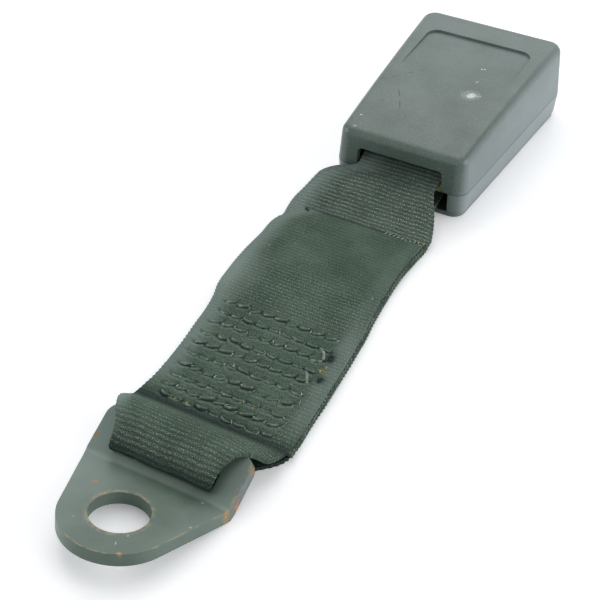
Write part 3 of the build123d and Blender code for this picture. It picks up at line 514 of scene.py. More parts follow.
# One station for each place a hand would name along the band: distance along
# the buckle, height over the floor, left selvage, right selvage.
route_stations = [
    (135.2, 3.02, -21.5, 19.0),    # cut end, its left corner trimmed
    (131.0, 3.0, -25.2, 18.7),
    (126.5, 3.0, -28.2, 18.4),
    (118.0, 3.0, -28.3, 18.2),
    (108.0, 3.0, -28.6, 18.8),
    (98.0, 3.0, -28.0, 19.8),
    (90.0, 3.0, -26.7, 21.0),
    (84.0, 3.0, -24.8, 21.6),
    (77.0, 3.0, -23.4, 22.2),
    (70.0, 3.0, -22.7, 22.8),
    (62.0, 3.0, -21.8, 23.3),
    (54.0, 3.0, -21.2, 23.7),
    (47.5, 3.0, -21.1, 24.2),
    (43.0, 3.0, -21.5, 24.2),      # last row of stitches
    (39.2, 3.15, -21.9, 23.9),      # groove before the fold
    (35.7, 5.9, -20.8, 23.6),
    (32.0, 9.35, -21.3, 21.8),      # curled left selvage
    (27.0, 11.25, -18.9, 17.6),    # top of the fold, on the bar
    (22.8, 10.7, -16.4, 15.6),
    (19.9, 9.1, -15.2, 15.2),      # crease of the fold
    (18.2, 7.1, -15.0, 15.0),
    (17.75, 5.75, -14.9, 14.8),    # rests on the lip of the slot
    (18.75, 4.75, -14.1, 14.1),
    (19.75, 2.75, -13.9, 13.9),    # in the slot
    (21.0, 1.25, -13.9, 13.9),
    (23.2, 0.66, -14.0, 14.0),
    (27.5, 0.6, -14.4, 14.4),      # under the bar
    (32.0, 0.6, -17.0, 18.0),
    (38.0, 0.6, -20.4, 23.4),
    (44.0, 0.6, -21.2, 24.6),
    (54.0, 0.6, -21.2, 24.0),
    (64.0, 0.6, -22.0, 23.6),
    (77.0, 0.6, -23.4, 22.6),
    (84.0, 0.6, -23.6, 22.0),
    (91.0, 0.6, -24.2, 21.4),
    (98.0, 0.6, -25.0, 20.3),
    (108.0, 0.6, -25.4, 19.4),
    (120.0, 0.6, -25.6, 18.7),
    (130.0, 0.6, -26.6, 19.1),
    (138.0, 0.6, -27.8, 19.3),
    (146.0, 1.6, -23.6, 17.0),
    (152.0, 2.6, -17.4, 14.6),
    (157.0, 3.35, -14.0, 14.0),    # into the housing
    (162.2, 4.06, -13.9, 13.9),
    (165.0, 5.4, -13.9, 13.9),
    (166.1, 8.25, -13.9, 13.9),    # round the frame's bar
    (165.0, 11.1, -13.9, 13.9),
    (161.9, 12.45, -13.9, 13.9),
    (158.4, 11.15, -13.9, 13.9),
    (156.6, 10.3, -13.9, 13.8),    # leaves the housing
    (155.0, 9.6, -14.8, 13.4),
    (153.2, 8.75, -20.8, 14.1),
    (151.0, 7.7, -24.6, 15.1),
    (148.0, 6.35, -26.3, 16.6),
    (145.0, 5.0, -27.3, 17.8),
    (142.0, 3.65, -27.9, 18.9),
    (139.0, 2.5, -28.3, 19.8),
    (135.0, 1.8, -28.0, 19.3),
    (126.0, 1.8, -26.4, 18.8),
    (112.0, 1.8, -25.6, 19.0),
    (98.0, 1.8, -25.2, 20.2),
    (84.0, 1.8, -23.8, 21.9),
    (70.0, 1.8, -22.8, 23.1),
    (54.0, 1.8, -21.3, 24.0),
    (46.0, 1.8, -21.2, 24.6),
    (40.2, 1.95, -21.0, 25.4),     # melted end
]
print("stations on the route", len(route_stations))

# %% [markdown]
# Straight lines could join the stations, but a belt has no corners between its
# bars, so a curve passes through each station and is cut into equal steps.
# Equal steps matter on cloth: the ribs must stay the same distance apart on the
# flat runs and round the bars.

# %% A smooth line through the stations
def pass_through(stations, samples):
    """A cubic line through the stations, in equal steps of its length."""
    points = np.array(stations, dtype=float)
    steps = np.linalg.norm(np.diff(points[:, :2], axis=0), axis=1)
    at = np.concatenate([[0.0], np.cumsum(steps)])
    slopes = np.gradient(points, axis=0)
    slopes[1:-1] = (points[2:] - points[:-2]) / (at[2:] - at[:-2])[:, None]
    slopes[0] = (points[1] - points[0]) / steps[0]
    slopes[-1] = (points[-1] - points[-2]) / steps[-1]
    fine_at = np.linspace(0, at[-1], samples * 6)
    leg = np.clip(np.searchsorted(at, fine_at, side="right") - 1, 0, len(steps) - 1)
    t = ((fine_at - at[leg]) / steps[leg])[:, None]
    reach = steps[leg][:, None]
    fine = ((1 + 2 * t) * (1 - t) ** 2 * points[leg]
            + t * (1 - t) ** 2 * reach * slopes[leg]
            + t * t * (3 - 2 * t) * points[leg + 1]
            + t * t * (t - 1) * reach * slopes[leg + 1])
    run = np.concatenate(
        [[0.0], np.cumsum(np.linalg.norm(np.diff(fine[:, :2], axis=0), axis=1))])
    even = np.linspace(0, run[-1], samples)
    columns = [np.interp(even, run, fine[:, k]) for k in range(fine.shape[1])]
    return np.stack(columns, axis=1), run[-1]


rows_along, cells_across = 560, 44
route, strap_length = pass_through(route_stations, rows_along + 1)
strap_width = 47.5
row_step = strap_length / rows_along
print("cut length", round(strap_length, 1), "mm, a row every", round(row_step, 3), "mm")

# %% [markdown]
# A few places need more than the line: the selvages sag or curl, the cloth
# gathers where a 48 mm band goes through a 29 mm slot, and the sewn rows pull
# it down. A cloth simulation could find folds, but not the ones that this strap
# has taken on in use, so each is a small lift along the cloth's outward
# direction, placed by where it is on the route.

# %% Places on the route, and the shapes there
route_run = np.arange(rows_along + 1) * row_step
to_along, to_height, to_left, to_right = range(4)      # the columns of the route


def on_route(run, column):
    """One column of the route at a distance along the band."""
    return np.interp(run, route_run, route[:, column])


def run_at(along, height, last=1e9):
    """How far along the band the place nearest to (along, height) is."""
    gap = np.hypot(route[:, to_along] - along, route[:, to_height] - height)
    gap = gap + 1e6 * (route_run > last)
    return route_run[int(np.argmin(gap))]


def ease(t):
    """0 below 0, 1 above 1, smooth between."""
    t = np.clip(t, 0.0, 1.0)
    return t * t * (3 - 2 * t)


def swell(distance, spread):
    """A soft bump: 1 at its middle, near 0 at twice the spread."""
    return np.exp(-(distance / spread) ** 2)


fold_top = run_at(27.0, 11.25)
slot_mid = run_at(19.75, 2.75)
housing_turn = run_at(166.1, 8.25)
upper_run_start = run_at(155.0, 9.6)
stitch_rows = (82.8, 77.8, 73.3, 68.3, 63.9, 59.2, 54.2, 49.7, 45.8, 41.7)
print("fold", round(fold_top, 1), "slot", round(slot_mid, 1),
      "housing bar", round(housing_turn, 1))


# %% Where each stitch goes
def plan_stitches():
    """The rows of stitches: (x, along, lean, share of full length) for each."""
    order = np.random.default_rng(11)
    plan = []
    for row_number, row_along in enumerate(stitch_rows):
        leans_up = row_number % 2 == 0
        share_down = row_number / (len(stitch_rows) - 1)
        first_x = -18.2 + 3.0 * share_down
        last_x = 14.6 + 1.6 * share_down
        for place_number in range(9):
            x = first_x + (last_x - first_x) * place_number / 8
            plan.append((
                x + order.normal(0, 0.25),
                row_along + order.normal(0, 0.22),
                math.radians(order.normal(17 if leans_up else -7, 6)),
                order.normal(1.0, 0.08),
            ))
    return plan


stitch_plan = plan_stitches()
print("stitches planned", len(stitch_plan))


def pucker(x, along):
    """Lift of the cloth round the stitches, painted shade in its creases and holes and painted
    light on its lips, at places in mm.
    """
    lift, painted_crease_shade, painted_lip_light = np.zeros_like(x), np.zeros_like(x), np.zeros_like(x)
    for middle_x, middle_along, lean, longer in stitch_plan:
        east, north = x - middle_x, along - middle_along
        p = east * math.cos(lean) + north * math.sin(lean)
        q = north * math.cos(lean) - east * math.sin(lean)
        half = 2.0 * longer
        within = ease((half + 0.5 - np.abs(p)) / 0.9)
        q = q - 0.11 * p * p + 0.25
        groove = swell(q, 0.5) * within
        below = swell(q + 1.1, 0.6) * within
        above = swell(q - 1.1, 0.75) * within
        lift += -0.34 * groove + 0.24 * below + 0.12 * above
        painted_crease_shade = np.maximum(painted_crease_shade, swell(q + 0.55, 0.26) * within)
        painted_lip_light = np.maximum(painted_lip_light, swell(q + 1.1, 0.42) * within)
        for side in (-1, 1):
            hole = swell(np.hypot(p - side * (half + 0.05), q - 0.3), 0.45)
            lift -= 0.45 * hole
            painted_crease_shade = np.maximum(painted_crease_shade, 0.9 * hole)
    return lift, painted_crease_shade, painted_lip_light


# %% The lift of the cloth at any of its points
def cloth_lift(across, run):
    """How far the cloth stands off its route, in mm; across is 0 at the left."""
    along, left, right = on_route(run, to_along), on_route(run, to_left), on_route(run, to_right)
    x = left + (right - left) * across
    from_left, from_right = x - left, right - x
    lift = np.zeros_like(x)
    on_top = ease((fold_top - 8 - run) / 6)
    # Sewn rows: the cloth swells between them and puckers round each stitch.
    in_patch = ease((along - 38.5) / 3) * ease((86.5 - along) / 3)
    in_patch = in_patch * ease((x + 22.0) / 2.5) * ease((19.5 - x) / 2.5)
    sewn = np.ones_like(x)
    for row in stitch_rows:
        sewn = sewn * (1 - swell(along - row, 1.1))
    crumple = 0.12 * np.sin(x * 1.9 + along * 0.7) * np.sin(along * 2.3 - x * 0.8)
    lift += on_top * in_patch * (0.2 + 0.12 * sewn + crumple)
    close = np.flatnonzero((on_top > 0.5) & (in_patch > 0.01))
    lift[close] += pucker(x[close], along[close])[0]
    # The left margin of the upper layer sags over the two lower layers.
    sag_place = ease((along - 86) / 12) * ease((133 - along) / 7)
    lift -= on_top * sag_place * 1.35 * ease((5.2 - from_left) / 5.2) ** 1.3
    # The right margin of the upper layer lifts a little before the cut end.
    lift += on_top * 0.45 * swell(along - 133, 5) * ease((7 - from_right) / 7)
    # The fold's left selvage curls out, the right one bends over the plate.
    lift -= 0.7 * swell(run - run_at(31.2, 9.8), 4.4) * ease((3.6 - from_left) / 3.6)
    lift -= 2.3 * swell(run - run_at(33.5, 8.2), 4.6) * ease((7.5 - from_right) / 7.5)
    lift -= 1.1 * swell(run - run_at(23.5, 10.9), 3.5) * ease((5 - from_right) / 5)
    lift -= 1.0 * swell(run - run_at(23.5, 10.9), 3.5) * ease((4 - from_left) / 4)
    # Gathers where the band narrows to the two slots.
    middle = (x - (left + right) / 2) / np.maximum(right - left, 1)
    pleats = np.cos(middle * 2 * math.pi * 2.0 + 0.7) * (0.4 + 0.6 * np.abs(middle))
    lift += 0.5 * swell(run - slot_mid, 4.5) * pleats
    lift += 0.7 * swell(run - upper_run_start - 6, 6.0) * pleats
    # Flanks of the upper run hang down as it leaves the housing.
    flank = swell(run - upper_run_start - 9.5, 6.5)
    lift -= flank * 2.2 * ease((6 - from_left) / 6) ** 1.2
    lift += 0.9 * swell(run - upper_run_start - 0.8, 2.0) * ease((9 - from_left) / 6)
    lift -= flank * 1.6 * ease((5 - from_right) / 5) ** 1.2
    # Underneath, the rows pull the lowest layer up.
    below = ease((run - slot_mid - 15) / 3) * ease((housing_turn - run) / 10)
    lift -= below * 0.32 * (1 - sewn) * in_patch
    # A slow wave of the whole stack, always upwards.
    wave = 0.16 + 0.1 * np.sin(along / 9.3 + x / 17) + 0.06 * np.sin(along / 4.1 - x / 9)
    flat_run = ease((along - 46) / 14) * ease((139 - along) / 10)
    outward_is_up = np.where((run < fold_top) | (run > housing_turn), 1.0, -1.0)
    lift += wave * flat_run * outward_is_up
    return lift


print("lift at the cut end", cloth_lift(np.array([0.0, 0.5, 1.0]), np.zeros(3)).round(2))

# %% [markdown]
# Now the blank is cut: a grid with the band's cut size. Every point of it is
# then carried to its place on the route. The two selvages get the small steps
# that the weft makes where it turns back at each rib.

# %% Cut and fold the webbing
rib_pitch = 1.4
rib_step = 0.19         # how far the weft's turns stand out of a selvage


def carry(across, run):
    """The place of a point of the blank, in metres."""
    left, right = on_route(run, to_left), on_route(run, to_right)
    ahead = np.clip(run + row_step, 0, strap_length)
    behind = np.clip(run - row_step, 0, strap_length)
    go_y = on_route(ahead, to_along) - on_route(behind, to_along)
    go_z = on_route(ahead, to_height) - on_route(behind, to_height)
    size = np.hypot(go_y, go_z)
    lift = cloth_lift(across, run)
    x = left + (right - left) * across
    steps = rib_step * np.sin(run * 2 * math.pi / rib_pitch)
    x = x + steps * (ease((across - 0.97) / 0.03) - ease((0.03 - across) / 0.03))
    y = on_route(run, to_along) + lift * go_z / size
    z = on_route(run, to_height) - lift * go_y / size
    return np.stack([x, y, z], axis=-1) * mm + np.array([0, 0, floor_height])


bpy.ops.mesh.primitive_grid_add(x_subdivisions=cells_across, y_subdivisions=rows_along, size=1)
webbing_band = bpy.context.object
webbing_band.name = "webbing_band"
edit_mode(True)
bpy.ops.transform.resize(value=(strap_width * mm, strap_length * mm, 1))
# The sewn patch needs finer cells, so that each stitch can pull on its own.
bpy.ops.mesh.select_mode(type="FACE")
bpy.ops.mesh.select_all(action="DESELECT")
blank_cells = bmesh.from_edit_mesh(webbing_band.data)
patch_from = run_at(88.0, 3.0, last=fold_top)
patch_to = run_at(38.0, 4.2, last=fold_top)
for cell in blank_cells.faces:
    middle = cell.calc_center_median() / mm
    cell.select = (
        patch_from < middle.y + strap_length / 2 < patch_to
        and abs(middle.x) < strap_width / 2 - 2.5
    )
bmesh.update_edit_mesh(webbing_band.data)
bpy.ops.mesh.subdivide(number_cuts=2)
edit_mode(False)

blank = np.empty(len(webbing_band.data.vertices) * 3)
webbing_band.data.vertices.foreach_get("co", blank)
blank = blank.reshape(-1, 3) / mm
across = 0.5 - blank[:, 0] / strap_width
run = blank[:, 1] + strap_length / 2
folded = carry(across, run)
webbing_band.data.vertices.foreach_set("co", folded.ravel())
webbing_band.data.update()
print("blank points", len(blank), "band spans y",
      (folded[:, 1].min() * 1000).round(1), (folded[:, 1].max() * 1000).round(1))

# %% [markdown]
# Webbing for belts is woven so that fat ribs of weft cross the band and the
# warp floats over them in short steps. Handling raises a pale fuzz on the rib
# crowns, and the valleys between the ribs are darkened as painted shade. Every
# yarn could be modelled, but the eye reads them as rows of light and dark, so
# they are drawn in the shader, on the UV map, in millimetres of cloth, and follow
# the band round its folds. How much shows differs from place to place, which is
# painted on the points, together with dirt, fading, painted shade and painted light.

# %% Where the cloth is rubbed, faded or dirty, and where shade and light are painted on it
def wear_and_light_at(across, run):
    """Rib contrast, dirt with painted shade and fading with painted light, each 0 to 1, at a
    point of the blank.
    """
    along, left, right = on_route(run, to_along), on_route(run, to_left), on_route(run, to_right)
    x = left + (right - left) * across
    from_left, from_right = x - left, right - x
    upper = ease((fold_top - run) / 4)
    returning = ease((run - housing_turn) / 4)
    contrast = np.full_like(x, 0.5)
    quiet = upper * ease((along - 100) / 10) * (1 - 0.65 * ease((-x - 8) / 14))
    contrast *= 1 - 0.55 * quiet
    contrast += returning * (0.32 + 0.35 * ease((-x - 4) / 8) + 0.35 * ease((x - 2) / 8))
    contrast += 0.25 * swell(run - fold_top - 8, 6)
    sewn_area = upper * ease((along - 39) / 2) * ease((86 - along) / 3)
    sewn_area = sewn_area * ease((x + 22) / 2) * ease((19 - x) / 2)
    contrast *= 1 - 0.75 * sewn_area
    # Painted shade in the groove before the fold and on the fold's lower front, which faces
    # down, away from the light.
    dirt_and_painted_shade = 0.95 * upper * swell(along - 39.4, 2.6)
    dirt_and_painted_shade += 0.9 * ease((run - fold_top - 7.0) / 4.5) * ease((slot_mid + 30 - run) / 6)
    # The cut end and the layer just past it below are darkened: painted shade of the gap under
    # the cut end.
    dirt_and_painted_shade += 0.9 * upper * ease((along - 134.3) / 0.5)
    dirt_and_painted_shade += 0.8 * returning * swell(along - 135.9, 0.7) * ease((x + 22.5) / 1.5)
    # The returning layer is darker towards the housing's mouth.
    dirt_and_painted_shade += 0.35 * returning * ease((along - 151) / 4)
    # The left margins, the curled left selvage and the returning layer's left flank are painted
    # paler: painted sheen of the white room at a grazing view. The right margin by the rows and
    # the whole returning layer are a little paler too.
    long_run = ease((along - 42) / 12)
    fading_and_painted_light = upper * long_run * 0.72 * ease((8.0 - from_left) / 6.5)
    by_the_rows = 0.15 + 0.4 * ease((98 - along) / 16)
    fading_and_painted_light += upper * long_run * by_the_rows * ease((6.5 - from_right) / 4.0)
    fading_and_painted_light += 1.1 * swell(run - run_at(31.2, 9.8), 5.0) * ease((5 - from_left) / 4.5)
    fading_and_painted_light += upper * 0.4 * swell(along - 97, 9) * ease((14 - from_left) / 8)
    fading_and_painted_light += 0.7 * returning * ease((10 - from_left) / 8)
    fading_and_painted_light += 0.12 * returning
    # Two oily spots beside the rows.
    for spot_x, spot_along, reach in ((17.9, 75.9, 2.2), (19.3, 66.9, 1.7)):
        spot = swell(np.hypot((x - spot_x) / 1.5, (along - spot_along) / reach), 1.0)
        dirt_and_painted_shade += 1.1 * upper * spot
    stitched = np.flatnonzero(sewn_area > 0.02)
    painted_crease_shade, painted_lip_light = pucker(x[stitched], along[stitched])[1:]
    # Painted shade in the creases under the stitches and in their holes, painted light on the
    # raised lips below them.
    dirt_and_painted_shade[stitched] += 0.85 * painted_crease_shade
    fading_and_painted_light[stitched] += 0.3 * painted_lip_light
    return contrast, dirt_and_painted_shade, fading_and_painted_light


wear_and_light_values = np.ones((len(blank), 4))
for channel, amount in enumerate(wear_and_light_at(across, run)):
    wear_and_light_values[:, channel] = amount.clip(0, 1)
wear_and_light_layer = webbing_band.data.color_attributes.new(
    name="wear_and_painted_light", type="FLOAT_COLOR", domain="POINT")
wear_and_light_layer.data.foreach_set("color", wear_and_light_values.ravel())
print("mean contrast, dirt and fading", wear_and_light_values[:, :3].mean(axis=0).round(2))

# %% Give the cloth its thickness
def select_only(*pieces):
    """Selects these pieces; the first becomes the active one."""
    bpy.ops.object.select_all(action="DESELECT")
    for piece in pieces:
        piece.select_set(True)
    bpy.context.view_layer.objects.active = pieces[0]


select_only(webbing_band)
thicken = webbing_band.modifiers.new("cloth_thickness", "SOLIDIFY")
thicken.thickness = strap_thickness * mm
thicken.offset = 0.0
thicken.use_even_offset = False
bpy.ops.object.modifier_apply(modifier=thicken.name)
bpy.ops.object.shade_smooth_by_angle(angle=math.radians(50))
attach(webbing_band, "strap")
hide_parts("webbing")
print("triangles in the band", sum(len(p.vertices) - 2 for p in webbing_band.data.polygons))

# %% Dyed woven polyester
warp_pitch = 0.6        # mm across the band, one float of warp
polyester_webbing, cloth, polyester_shader = new_finish(
    "dyed_woven_polyester", Roughness=0.93, IOR=1.57, Specular_IOR_Level=0.08)
cloth_uv = add(cloth, "UVMap", uv_map="UVMap").outputs[0]
cloth_mm = vectors(cloth, "MULTIPLY", cloth_uv, (strap_width, strap_length, 0.0))
cloth_parts = add(cloth, "SeparateXYZ", {0: cloth_mm}).outputs
wear_and_light_read = add(cloth, "Attribute", attribute_name="wear_and_painted_light").outputs["Color"]
contrast_read, dirt_and_shade_read, fading_and_light_read = add(
    cloth, "SeparateColor", {0: wear_and_light_read}).outputs


def times(first, second):
    """Two of the cloth's values multiplied."""
    return maths(cloth, "MULTIPLY", first, second)


def plus(first, second):
    """Two of the cloth's values added."""
    return maths(cloth, "ADD", first, second)


def wave_of(turn):
    """A wave from 0 to 1, once for each full turn."""
    return times(plus(maths(cloth, "SINE", turn), 1.0), 0.5)


def speckle(scale, stretch, low, high, detail=2.0):
    """Noise on the cloth, in cells of 1/scale mm, stretched, cut to 0..1."""
    laid = add(cloth, "Mapping", {"Vector": cloth_mm, "Scale": (*stretch, 1.0)})
    return between(cloth, cloudy(cloth, laid.outputs[0], scale, detail), low, high)


square = (1.0, 1.0)
wander = speckle(0.1, (1.0, 0.3), 0.2, 0.8)
rib_line = plus(cloth_parts["Y"], times(wander, 0.5))
rib = wave_of(times(rib_line, 2 * math.pi / rib_pitch))
rib_number = maths(cloth, "FLOOR", maths(cloth, "DIVIDE", rib_line, rib_pitch))
# Each rib starts half a float later than the one before.
warp = wave_of(plus(times(cloth_parts["X"], 2 * math.pi / warp_pitch),
                    times(rib_number, math.pi)))
fuzz = speckle(2.5, (1.0, 1.25), 0.53, 0.68)
pale_specks = speckle(1.9, square, 0.66, 0.74)
blotch = speckle(0.07, square, 0.35, 0.65, 4.0)
# The nap: single broken filaments, drawn at 0.3 mm so that they show.
nap = speckle(3.1, square, 0.3, 0.7)
patchy = speckle(0.35, (1.0, 0.6), 0.3, 0.62)

ridge = times(rib, plus(times(warp, 0.45), 0.55))
valley_shade = times(maths(cloth, "SUBTRACT", 1.0, ridge), contrast_read)
valley_shade = times(valley_shade, plus(times(patchy, 0.7), 0.3))
fuzzy_crown = times(times(fuzz, ridge), maths(cloth, "POWER", contrast_read, 1.2))
dye = add(cloth, "Mix", {
    0: 0.8, 6: blend(cloth, blotch, "#435447", "#546557"), 7: nap},
    data_type="RGBA", blend_type="SOFT_LIGHT").outputs[2]
# The rib valleys get painted shade; the dirt share carries painted shade as well, and the faded
# share painted light.
for share, strength, shade in (
    (valley_shade, 0.6, "#202c25"),
    (fuzzy_crown, 1.5, "#ccd6cf"),
    (pale_specks, 0.4, "#8d9f93"),
    (fading_and_light_read, 0.75, "#84928c"),
    (dirt_and_shade_read, 0.75, "#1d2729"),
):
    dye = blend(cloth, times(share, strength), dye, shade)
woven_height = times(plus(ridge, times(fuzz, 0.35)), plus(contrast_read, 0.1))
join_up(cloth, polyester_shader, (plus(times(nap, 0.22), woven_height), 0.75, 0.3),
        Base_Color=dye)
dress(webbing_band, polyester_webbing)
print("ribs along the band", round(strap_length / rib_pitch))

# %% [markdown]
# The three layers are sewn together with ten rows of heavy bonded thread. A
# lock stitch shows as short leaning bars, each pulled into the cloth at both
# ends. A bump could hint at them, but they stand up and cast shadows, so one bar
# is modelled with care and copied; each copy is a little longer, shorter or more
# turned, since a hand-fed machine never repeats itself. The same rows show
# underneath, so the bars are laid there as well.

# %% One stitch of bonded thread
stitch_length = 4.1
thread_radius = 0.4
bpy.ops.mesh.primitive_cylinder_add(
    vertices=6, radius=thread_radius * mm,
    depth=stitch_length * mm, rotation=(0, math.pi / 2, 0))
stitch_bar = bpy.context.object
stitch_bar.name = "stitch_bar"
bpy.ops.object.transform_apply(location=True, rotation=True, scale=True)
edit_mode(True)
bpy.ops.mesh.select_mode(type="EDGE")
bpy.ops.mesh.select_all(action="DESELECT")
stitch_mesh = bmesh.from_edit_mesh(stitch_bar.data)
for edge in stitch_mesh.edges:
    ends = [v.co.x for v in edge.verts]
    edge.select = abs(ends[0] - ends[1]) > stitch_length * 0.5 * mm
bmesh.update_edit_mesh(stitch_bar.data)
bpy.ops.mesh.subdivide(number_cuts=5)
bpy.ops.mesh.select_mode(type="VERT")


def move_ring(near_x, shift, squeeze):
    """Moves the ring of points at near_x (mm) by shift (mm) and squeezes it."""
    bpy.ops.mesh.select_all(action="DESELECT")
    shape = bmesh.from_edit_mesh(stitch_bar.data)
    for vert in shape.verts:
        vert.select = abs(vert.co.x / mm - near_x) < 0.2
    shape.select_flush_mode()
    bmesh.update_edit_mesh(stitch_bar.data)
    bpy.ops.transform.resize(value=(1, squeeze, squeeze))
    bpy.ops.transform.translate(value=[s * mm for s in shift])


# From the left hole, up over the cloth, and down into the right hole.
step = stitch_length / 6
for ring, shift, squeeze in (
    (-3, (0.25, 0.45, -0.75), 0.7),
    (-2, (0.0, -0.02, -0.05), 0.95),
    (-1, (0.0, -0.26, 0.1), 1.1),
    (0, (0.0, -0.34, 0.12), 1.15),
    (1, (0.0, -0.22, 0.12), 1.1),
    (2, (0.0, 0.15, 0.02), 0.95),
    (3, (-0.3, 0.95, -0.7), 0.65),
):
    move_ring(ring * step, shift, squeeze)
bpy.ops.mesh.select_all(action="SELECT")
bpy.ops.mesh.normals_make_consistent(inside=False)
edit_mode(False)
bpy.ops.object.shade_smooth()
print("one stitch has", len(stitch_bar.data.polygons), "faces")


# %% Sew the rows
def cloth_top(x, along, stand_off):
    """The place on the upper layer's outer face over (x, along), in mm."""
    spot = run_at(along, 3.0, last=fold_top - 8)
    left, right = on_route(spot, to_left), on_route(spot, to_right)
    share = np.array([(x - left) / (right - left)])
    place = carry(share, np.array([spot]))[0]
    return Vector(place) + Vector((0, 0, (strap_thickness / 2 + stand_off) * mm))


thread_out = 0.3          # how far the bars stand out of the upper layer, mm
under_thread_height = floor_height + 0.36 * mm
stitch_order = np.random.default_rng(12)
stitch_copies = []
for x, along, lean, longer in stitch_plan:
    turn = Matrix.Rotation(lean, 4, "Z") @ Matrix.Diagonal((longer, 1.0, 1.0, 1.0))
    top_place = cloth_top(x, along, thread_out + stitch_order.normal(0, 0.05))
    under_place = Vector((x * mm, along * mm, under_thread_height))
    under_turn = Matrix.Diagonal((1.0, 1.0, -0.8, 1.0)) @ turn
    for spot, way in ((top_place, turn), (under_place, under_turn)):
        copy = stitch_bar.copy()
        copy.data = stitch_bar.data.copy()
        copy.data.transform(Matrix.Translation(spot) @ way)
        bpy.context.scene.collection.objects.link(copy)
        stitch_copies.append(copy)
bpy.data.objects.remove(stitch_bar)
select_only(*stitch_copies)
bpy.ops.object.join()
stitching = bpy.context.object
stitching.name = "stitching"
edit_mode(True)
bpy.ops.mesh.select_all(action="SELECT")
bpy.ops.mesh.normals_make_consistent(inside=False)
edit_mode(False)
print("stitches", len(stitch_copies), "faces", len(stitching.data.polygons))

# %% [markdown]
# Bonded thread is a three-ply cord with a dull coating. Its plies could be
# wound as real strands, but their twist is finer than can be seen here, so they
# are a slanted stripe in the bump, drawn about twice as wide as they are.

# %% Bonded polyester thread
ply_pitch = 0.9


def thread_finish(name, shade, worn_shade, roughness):
    """Twisted thread: slanted plies, paler in soft random patches."""
    material, tree, shader = new_finish(
        name, Roughness=roughness, Specular_IOR_Level=0.3, Sheen_Weight=0.1)
    place = add(tree, "TexCoord").outputs["Object"]
    plies = add(tree, "TexWave", {
        "Vector": place, "Scale": 0.314 / (ply_pitch * mm), "Distortion": 1.5},
        bands_direction="DIAGONAL").outputs[1]
    worn = between(tree, cloudy(tree, place, 700.0, 3.0), 0.52, 0.68)
    join_up(tree, shader, (plies, 0.5, 0.1), Base_Color=blend(tree, worn, shade, worn_shade))
    return material


dress(stitching, thread_finish("bonded_polyester_thread", "#4a5a50", "#78877d", 0.5))
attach(stitching, "strap")
print("thread plies every", ply_pitch, "mm")

# %% [markdown]
# Wear leaves small things on old webbing: a run of thread that has come loose
# beside the rows, broken fibres, and lint caught under the stitches. They could
# be hairs of a particle system, but those aren't a mesh, so each is a thin tube
# along a short line that is laid on the cloth, joined into one piece for each
# colour of fibre.

# %% Loose threads and lint
def lay_fibre(places, radius):
    """A thin tube through places given as (x, along, height over the cloth)."""
    bpy.ops.curve.primitive_nurbs_path_add()
    line = bpy.context.object
    spline = line.data.splines[0]
    while len(spline.points) < len(places):
        spline.points.add(1)
    for number, point in enumerate(spline.points):
        x, along, over = places[min(number, len(places) - 1)]
        here = cloth_top(x, along, over)
        nudge = 0.02 * mm * max(0, number - len(places) + 1)
        point.co = (here.x + nudge, here.y, here.z, 1.0)
    spline.order_u = 3
    spline.use_endpoint_u = True
    spline.resolution_u = 3
    line.location = (0, 0, 0)
    line.data.bevel_depth = radius * mm
    line.data.bevel_resolution = 0
    line.data.use_fill_caps = True
    select_only(line)
    bpy.ops.object.convert(target="MESH")
    return bpy.context.object


def join_fibres(name, fibres, finish):
    """Joins the tubes of one colour and makes them ride with the strap."""
    select_only(*fibres)
    bpy.ops.object.join()
    joined = bpy.context.object
    joined.name = name
    dress(joined, finish)
    bpy.ops.object.shade_smooth()
    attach(joined, "strap")
    return joined


fibre_order = np.random.default_rng(5)


def tangle(x, along, size, count, thickness):
    """A few short crossing fibres round one place."""
    made = []
    for _ in range(count):
        heading = fibre_order.uniform(0, 2 * math.pi)
        reach = size * fibre_order.uniform(0.5, 1.0)
        bend = fibre_order.normal(0, 0.35) * size
        across_x, across_y = math.cos(heading), math.sin(heading)
        made.append(lay_fibre((
            (x - across_x * reach, along - across_y * reach, 0.05),
            (x - across_y * bend, along + across_x * bend, 0.25),
            (x + across_x * reach * 0.5, along + across_y * reach * 0.5, 0.3),
            (x + across_x * reach, along + across_y * reach, 0.08),
        ), thickness))
    return made


def scatter(places, shrink, count, thickness):
    """A tangle at each place, given as (x, along, size)."""
    return [fibre for x, along, size in places
            for fibre in tangle(x, along, size * shrink, count, thickness)]


# Each run is a row of places: (x, along, height over the cloth).
thick_runs = (
    ((13.5, 77.8, 0.0), (14.6, 77.4, 0.3), (15.5, 76.4, 0.35), (16.2, 75.2, 0.3),
     (16.4, 74.2, 0.0)),
    ((14.3, 67.8, 0.0), (15.3, 67.2, 0.3), (16.0, 65.8, 0.35), (16.6, 64.4, 0.3),
     (16.9, 63.2, 0.0)),
)
thin_runs = (
    ((19.7, 61.4, 0.0), (20.0, 60.2, 0.15), (20.2, 58.4, 0.1), (20.2, 56.6, 0.1),
     (19.9, 54.0, 0.1), (19.6, 51.0, 0.1), (19.0, 47.6, 0.1), (18.2, 44.6, 0.0)),
    ((18.4, 57.6, 0.1), (18.6, 56.8, 0.35), (18.9, 55.8, 0.35), (19.1, 55.2, 0.1)),
)
loose_tubes = [lay_fibre(p, thread_radius) for p in thick_runs]
loose_tubes += [lay_fibre(p, 0.09) for p in thin_runs]
loose_thread = join_fibres("loose_thread", loose_tubes, thread_finish(
    "faded_polyester_thread", "#74857a", "#96a493", 0.75))

# Each place of lint or fibre: x, along and size in mm.
lint_places = (
    (-10.6, 80.6, 0.55), (-6.7, 79.3, 0.4), (-0.2, 67.2, 0.6), (-3.7, 60.0, 0.5),
    (13.6, 61.2, 0.6), (-22.0, 112.0, 0.3), (16.6, 104.5, 0.3), (18.7, 56.6, 0.5),
)
lint_tubes = scatter(lint_places, 0.7, 5, 0.06)
# Broken filaments stand up beside every second stitch, most in the last rows.
for x, along, *_ in stitch_plan:
    if fibre_order.uniform() < (0.75 if along < 50 else 0.45):
        lint_tubes += tangle(x + 2.0, along + 0.3, 0.5, 2, 0.075)
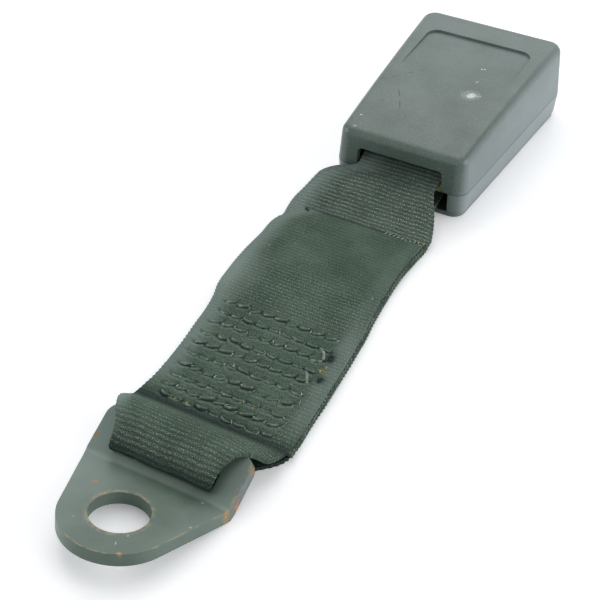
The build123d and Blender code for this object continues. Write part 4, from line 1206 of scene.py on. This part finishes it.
# The cut end has frayed into pale tufts along its right half.
for tuft in range(9):
    lint_tubes += tangle(6.5 + 1.4 * tuft, 134.7, 0.45, 2, 0.08)
lint = join_fibres("lint", lint_tubes, thread_finish(
    "cotton_lint", "#b3bdb3", "#dde2dc", 0.9))

straw_places = (
    (18.2, 69.6, 1.1), (18.9, 71.6, 0.8), (14.5, 53.6, 0.5), (4.7, 49.1, 0.6),
    (8.8, 48.8, 0.6), (0.7, 49.4, 0.4), (-11.2, 41.7, 0.6), (-7.5, 41.9, 0.5),
    (18.9, 135.2, 0.9), (18.6, 133.8, 0.6),
)
straw_tubes = scatter(straw_places, 1.0, 3, 0.11)
straw_fibres = join_fibres("straw_fibres", straw_tubes, thread_finish(
    "straw_coloured_fibre", "#a8984f", "#c9b878", 0.8))

dark_places = ((17.9, 76.4, 1.1), (18.1, 75.0, 1.2), (19.4, 67.2, 0.9), (19.3, 66.2, 0.8),
               (-20.4, 133.8, 0.9), (-21.2, 134.3, 0.8))
dark_tubes = scatter(dark_places, 0.8, 7, 0.09)
dark_fuzz = join_fibres("dark_fuzz", dark_tubes, thread_finish(
    "singed_polyester_fuzz", "#1c2725", "#33413c", 0.85))
print("lint", len(lint_tubes), "straw", len(straw_tubes), "dark", len(dark_tubes))

# %% [markdown]
# The springs are wound wire. When a part pushes on one, its coils close up
# towards the end that stays put. Each spring is listed with the motion that
# presses it, the way it is pressed, the end that stays put and the share of its
# length left at the end of the travel, and gets a mesh of its own.

# %% The springs and what presses them
along_the_buckle, upright = (0, 1, 0), (0, 0, 1)
# Each spring: the motion, the way it is pressed, the end that stays, the share left.
springs = {
    "button_spring_left": ("button_press", along_the_buckle, (0, 0.2023, 0), 16.0 / 22.0),
    "button_spring_right": ("button_press", along_the_buckle, (0, 0.2023, 0), 16.0 / 22.0),
    "ejector_spring": ("ejector_slide", along_the_buckle, (0, 0.1754, 0), 9.2 / 19.2),
    "latch_spring": ("latch_lift", upright, (0, 0, 0.01782), 0.4),
}
for node, (motion, way, fixed_end, left_over) in springs.items():
    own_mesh(nodes[node])
print("springs told", len(springs))
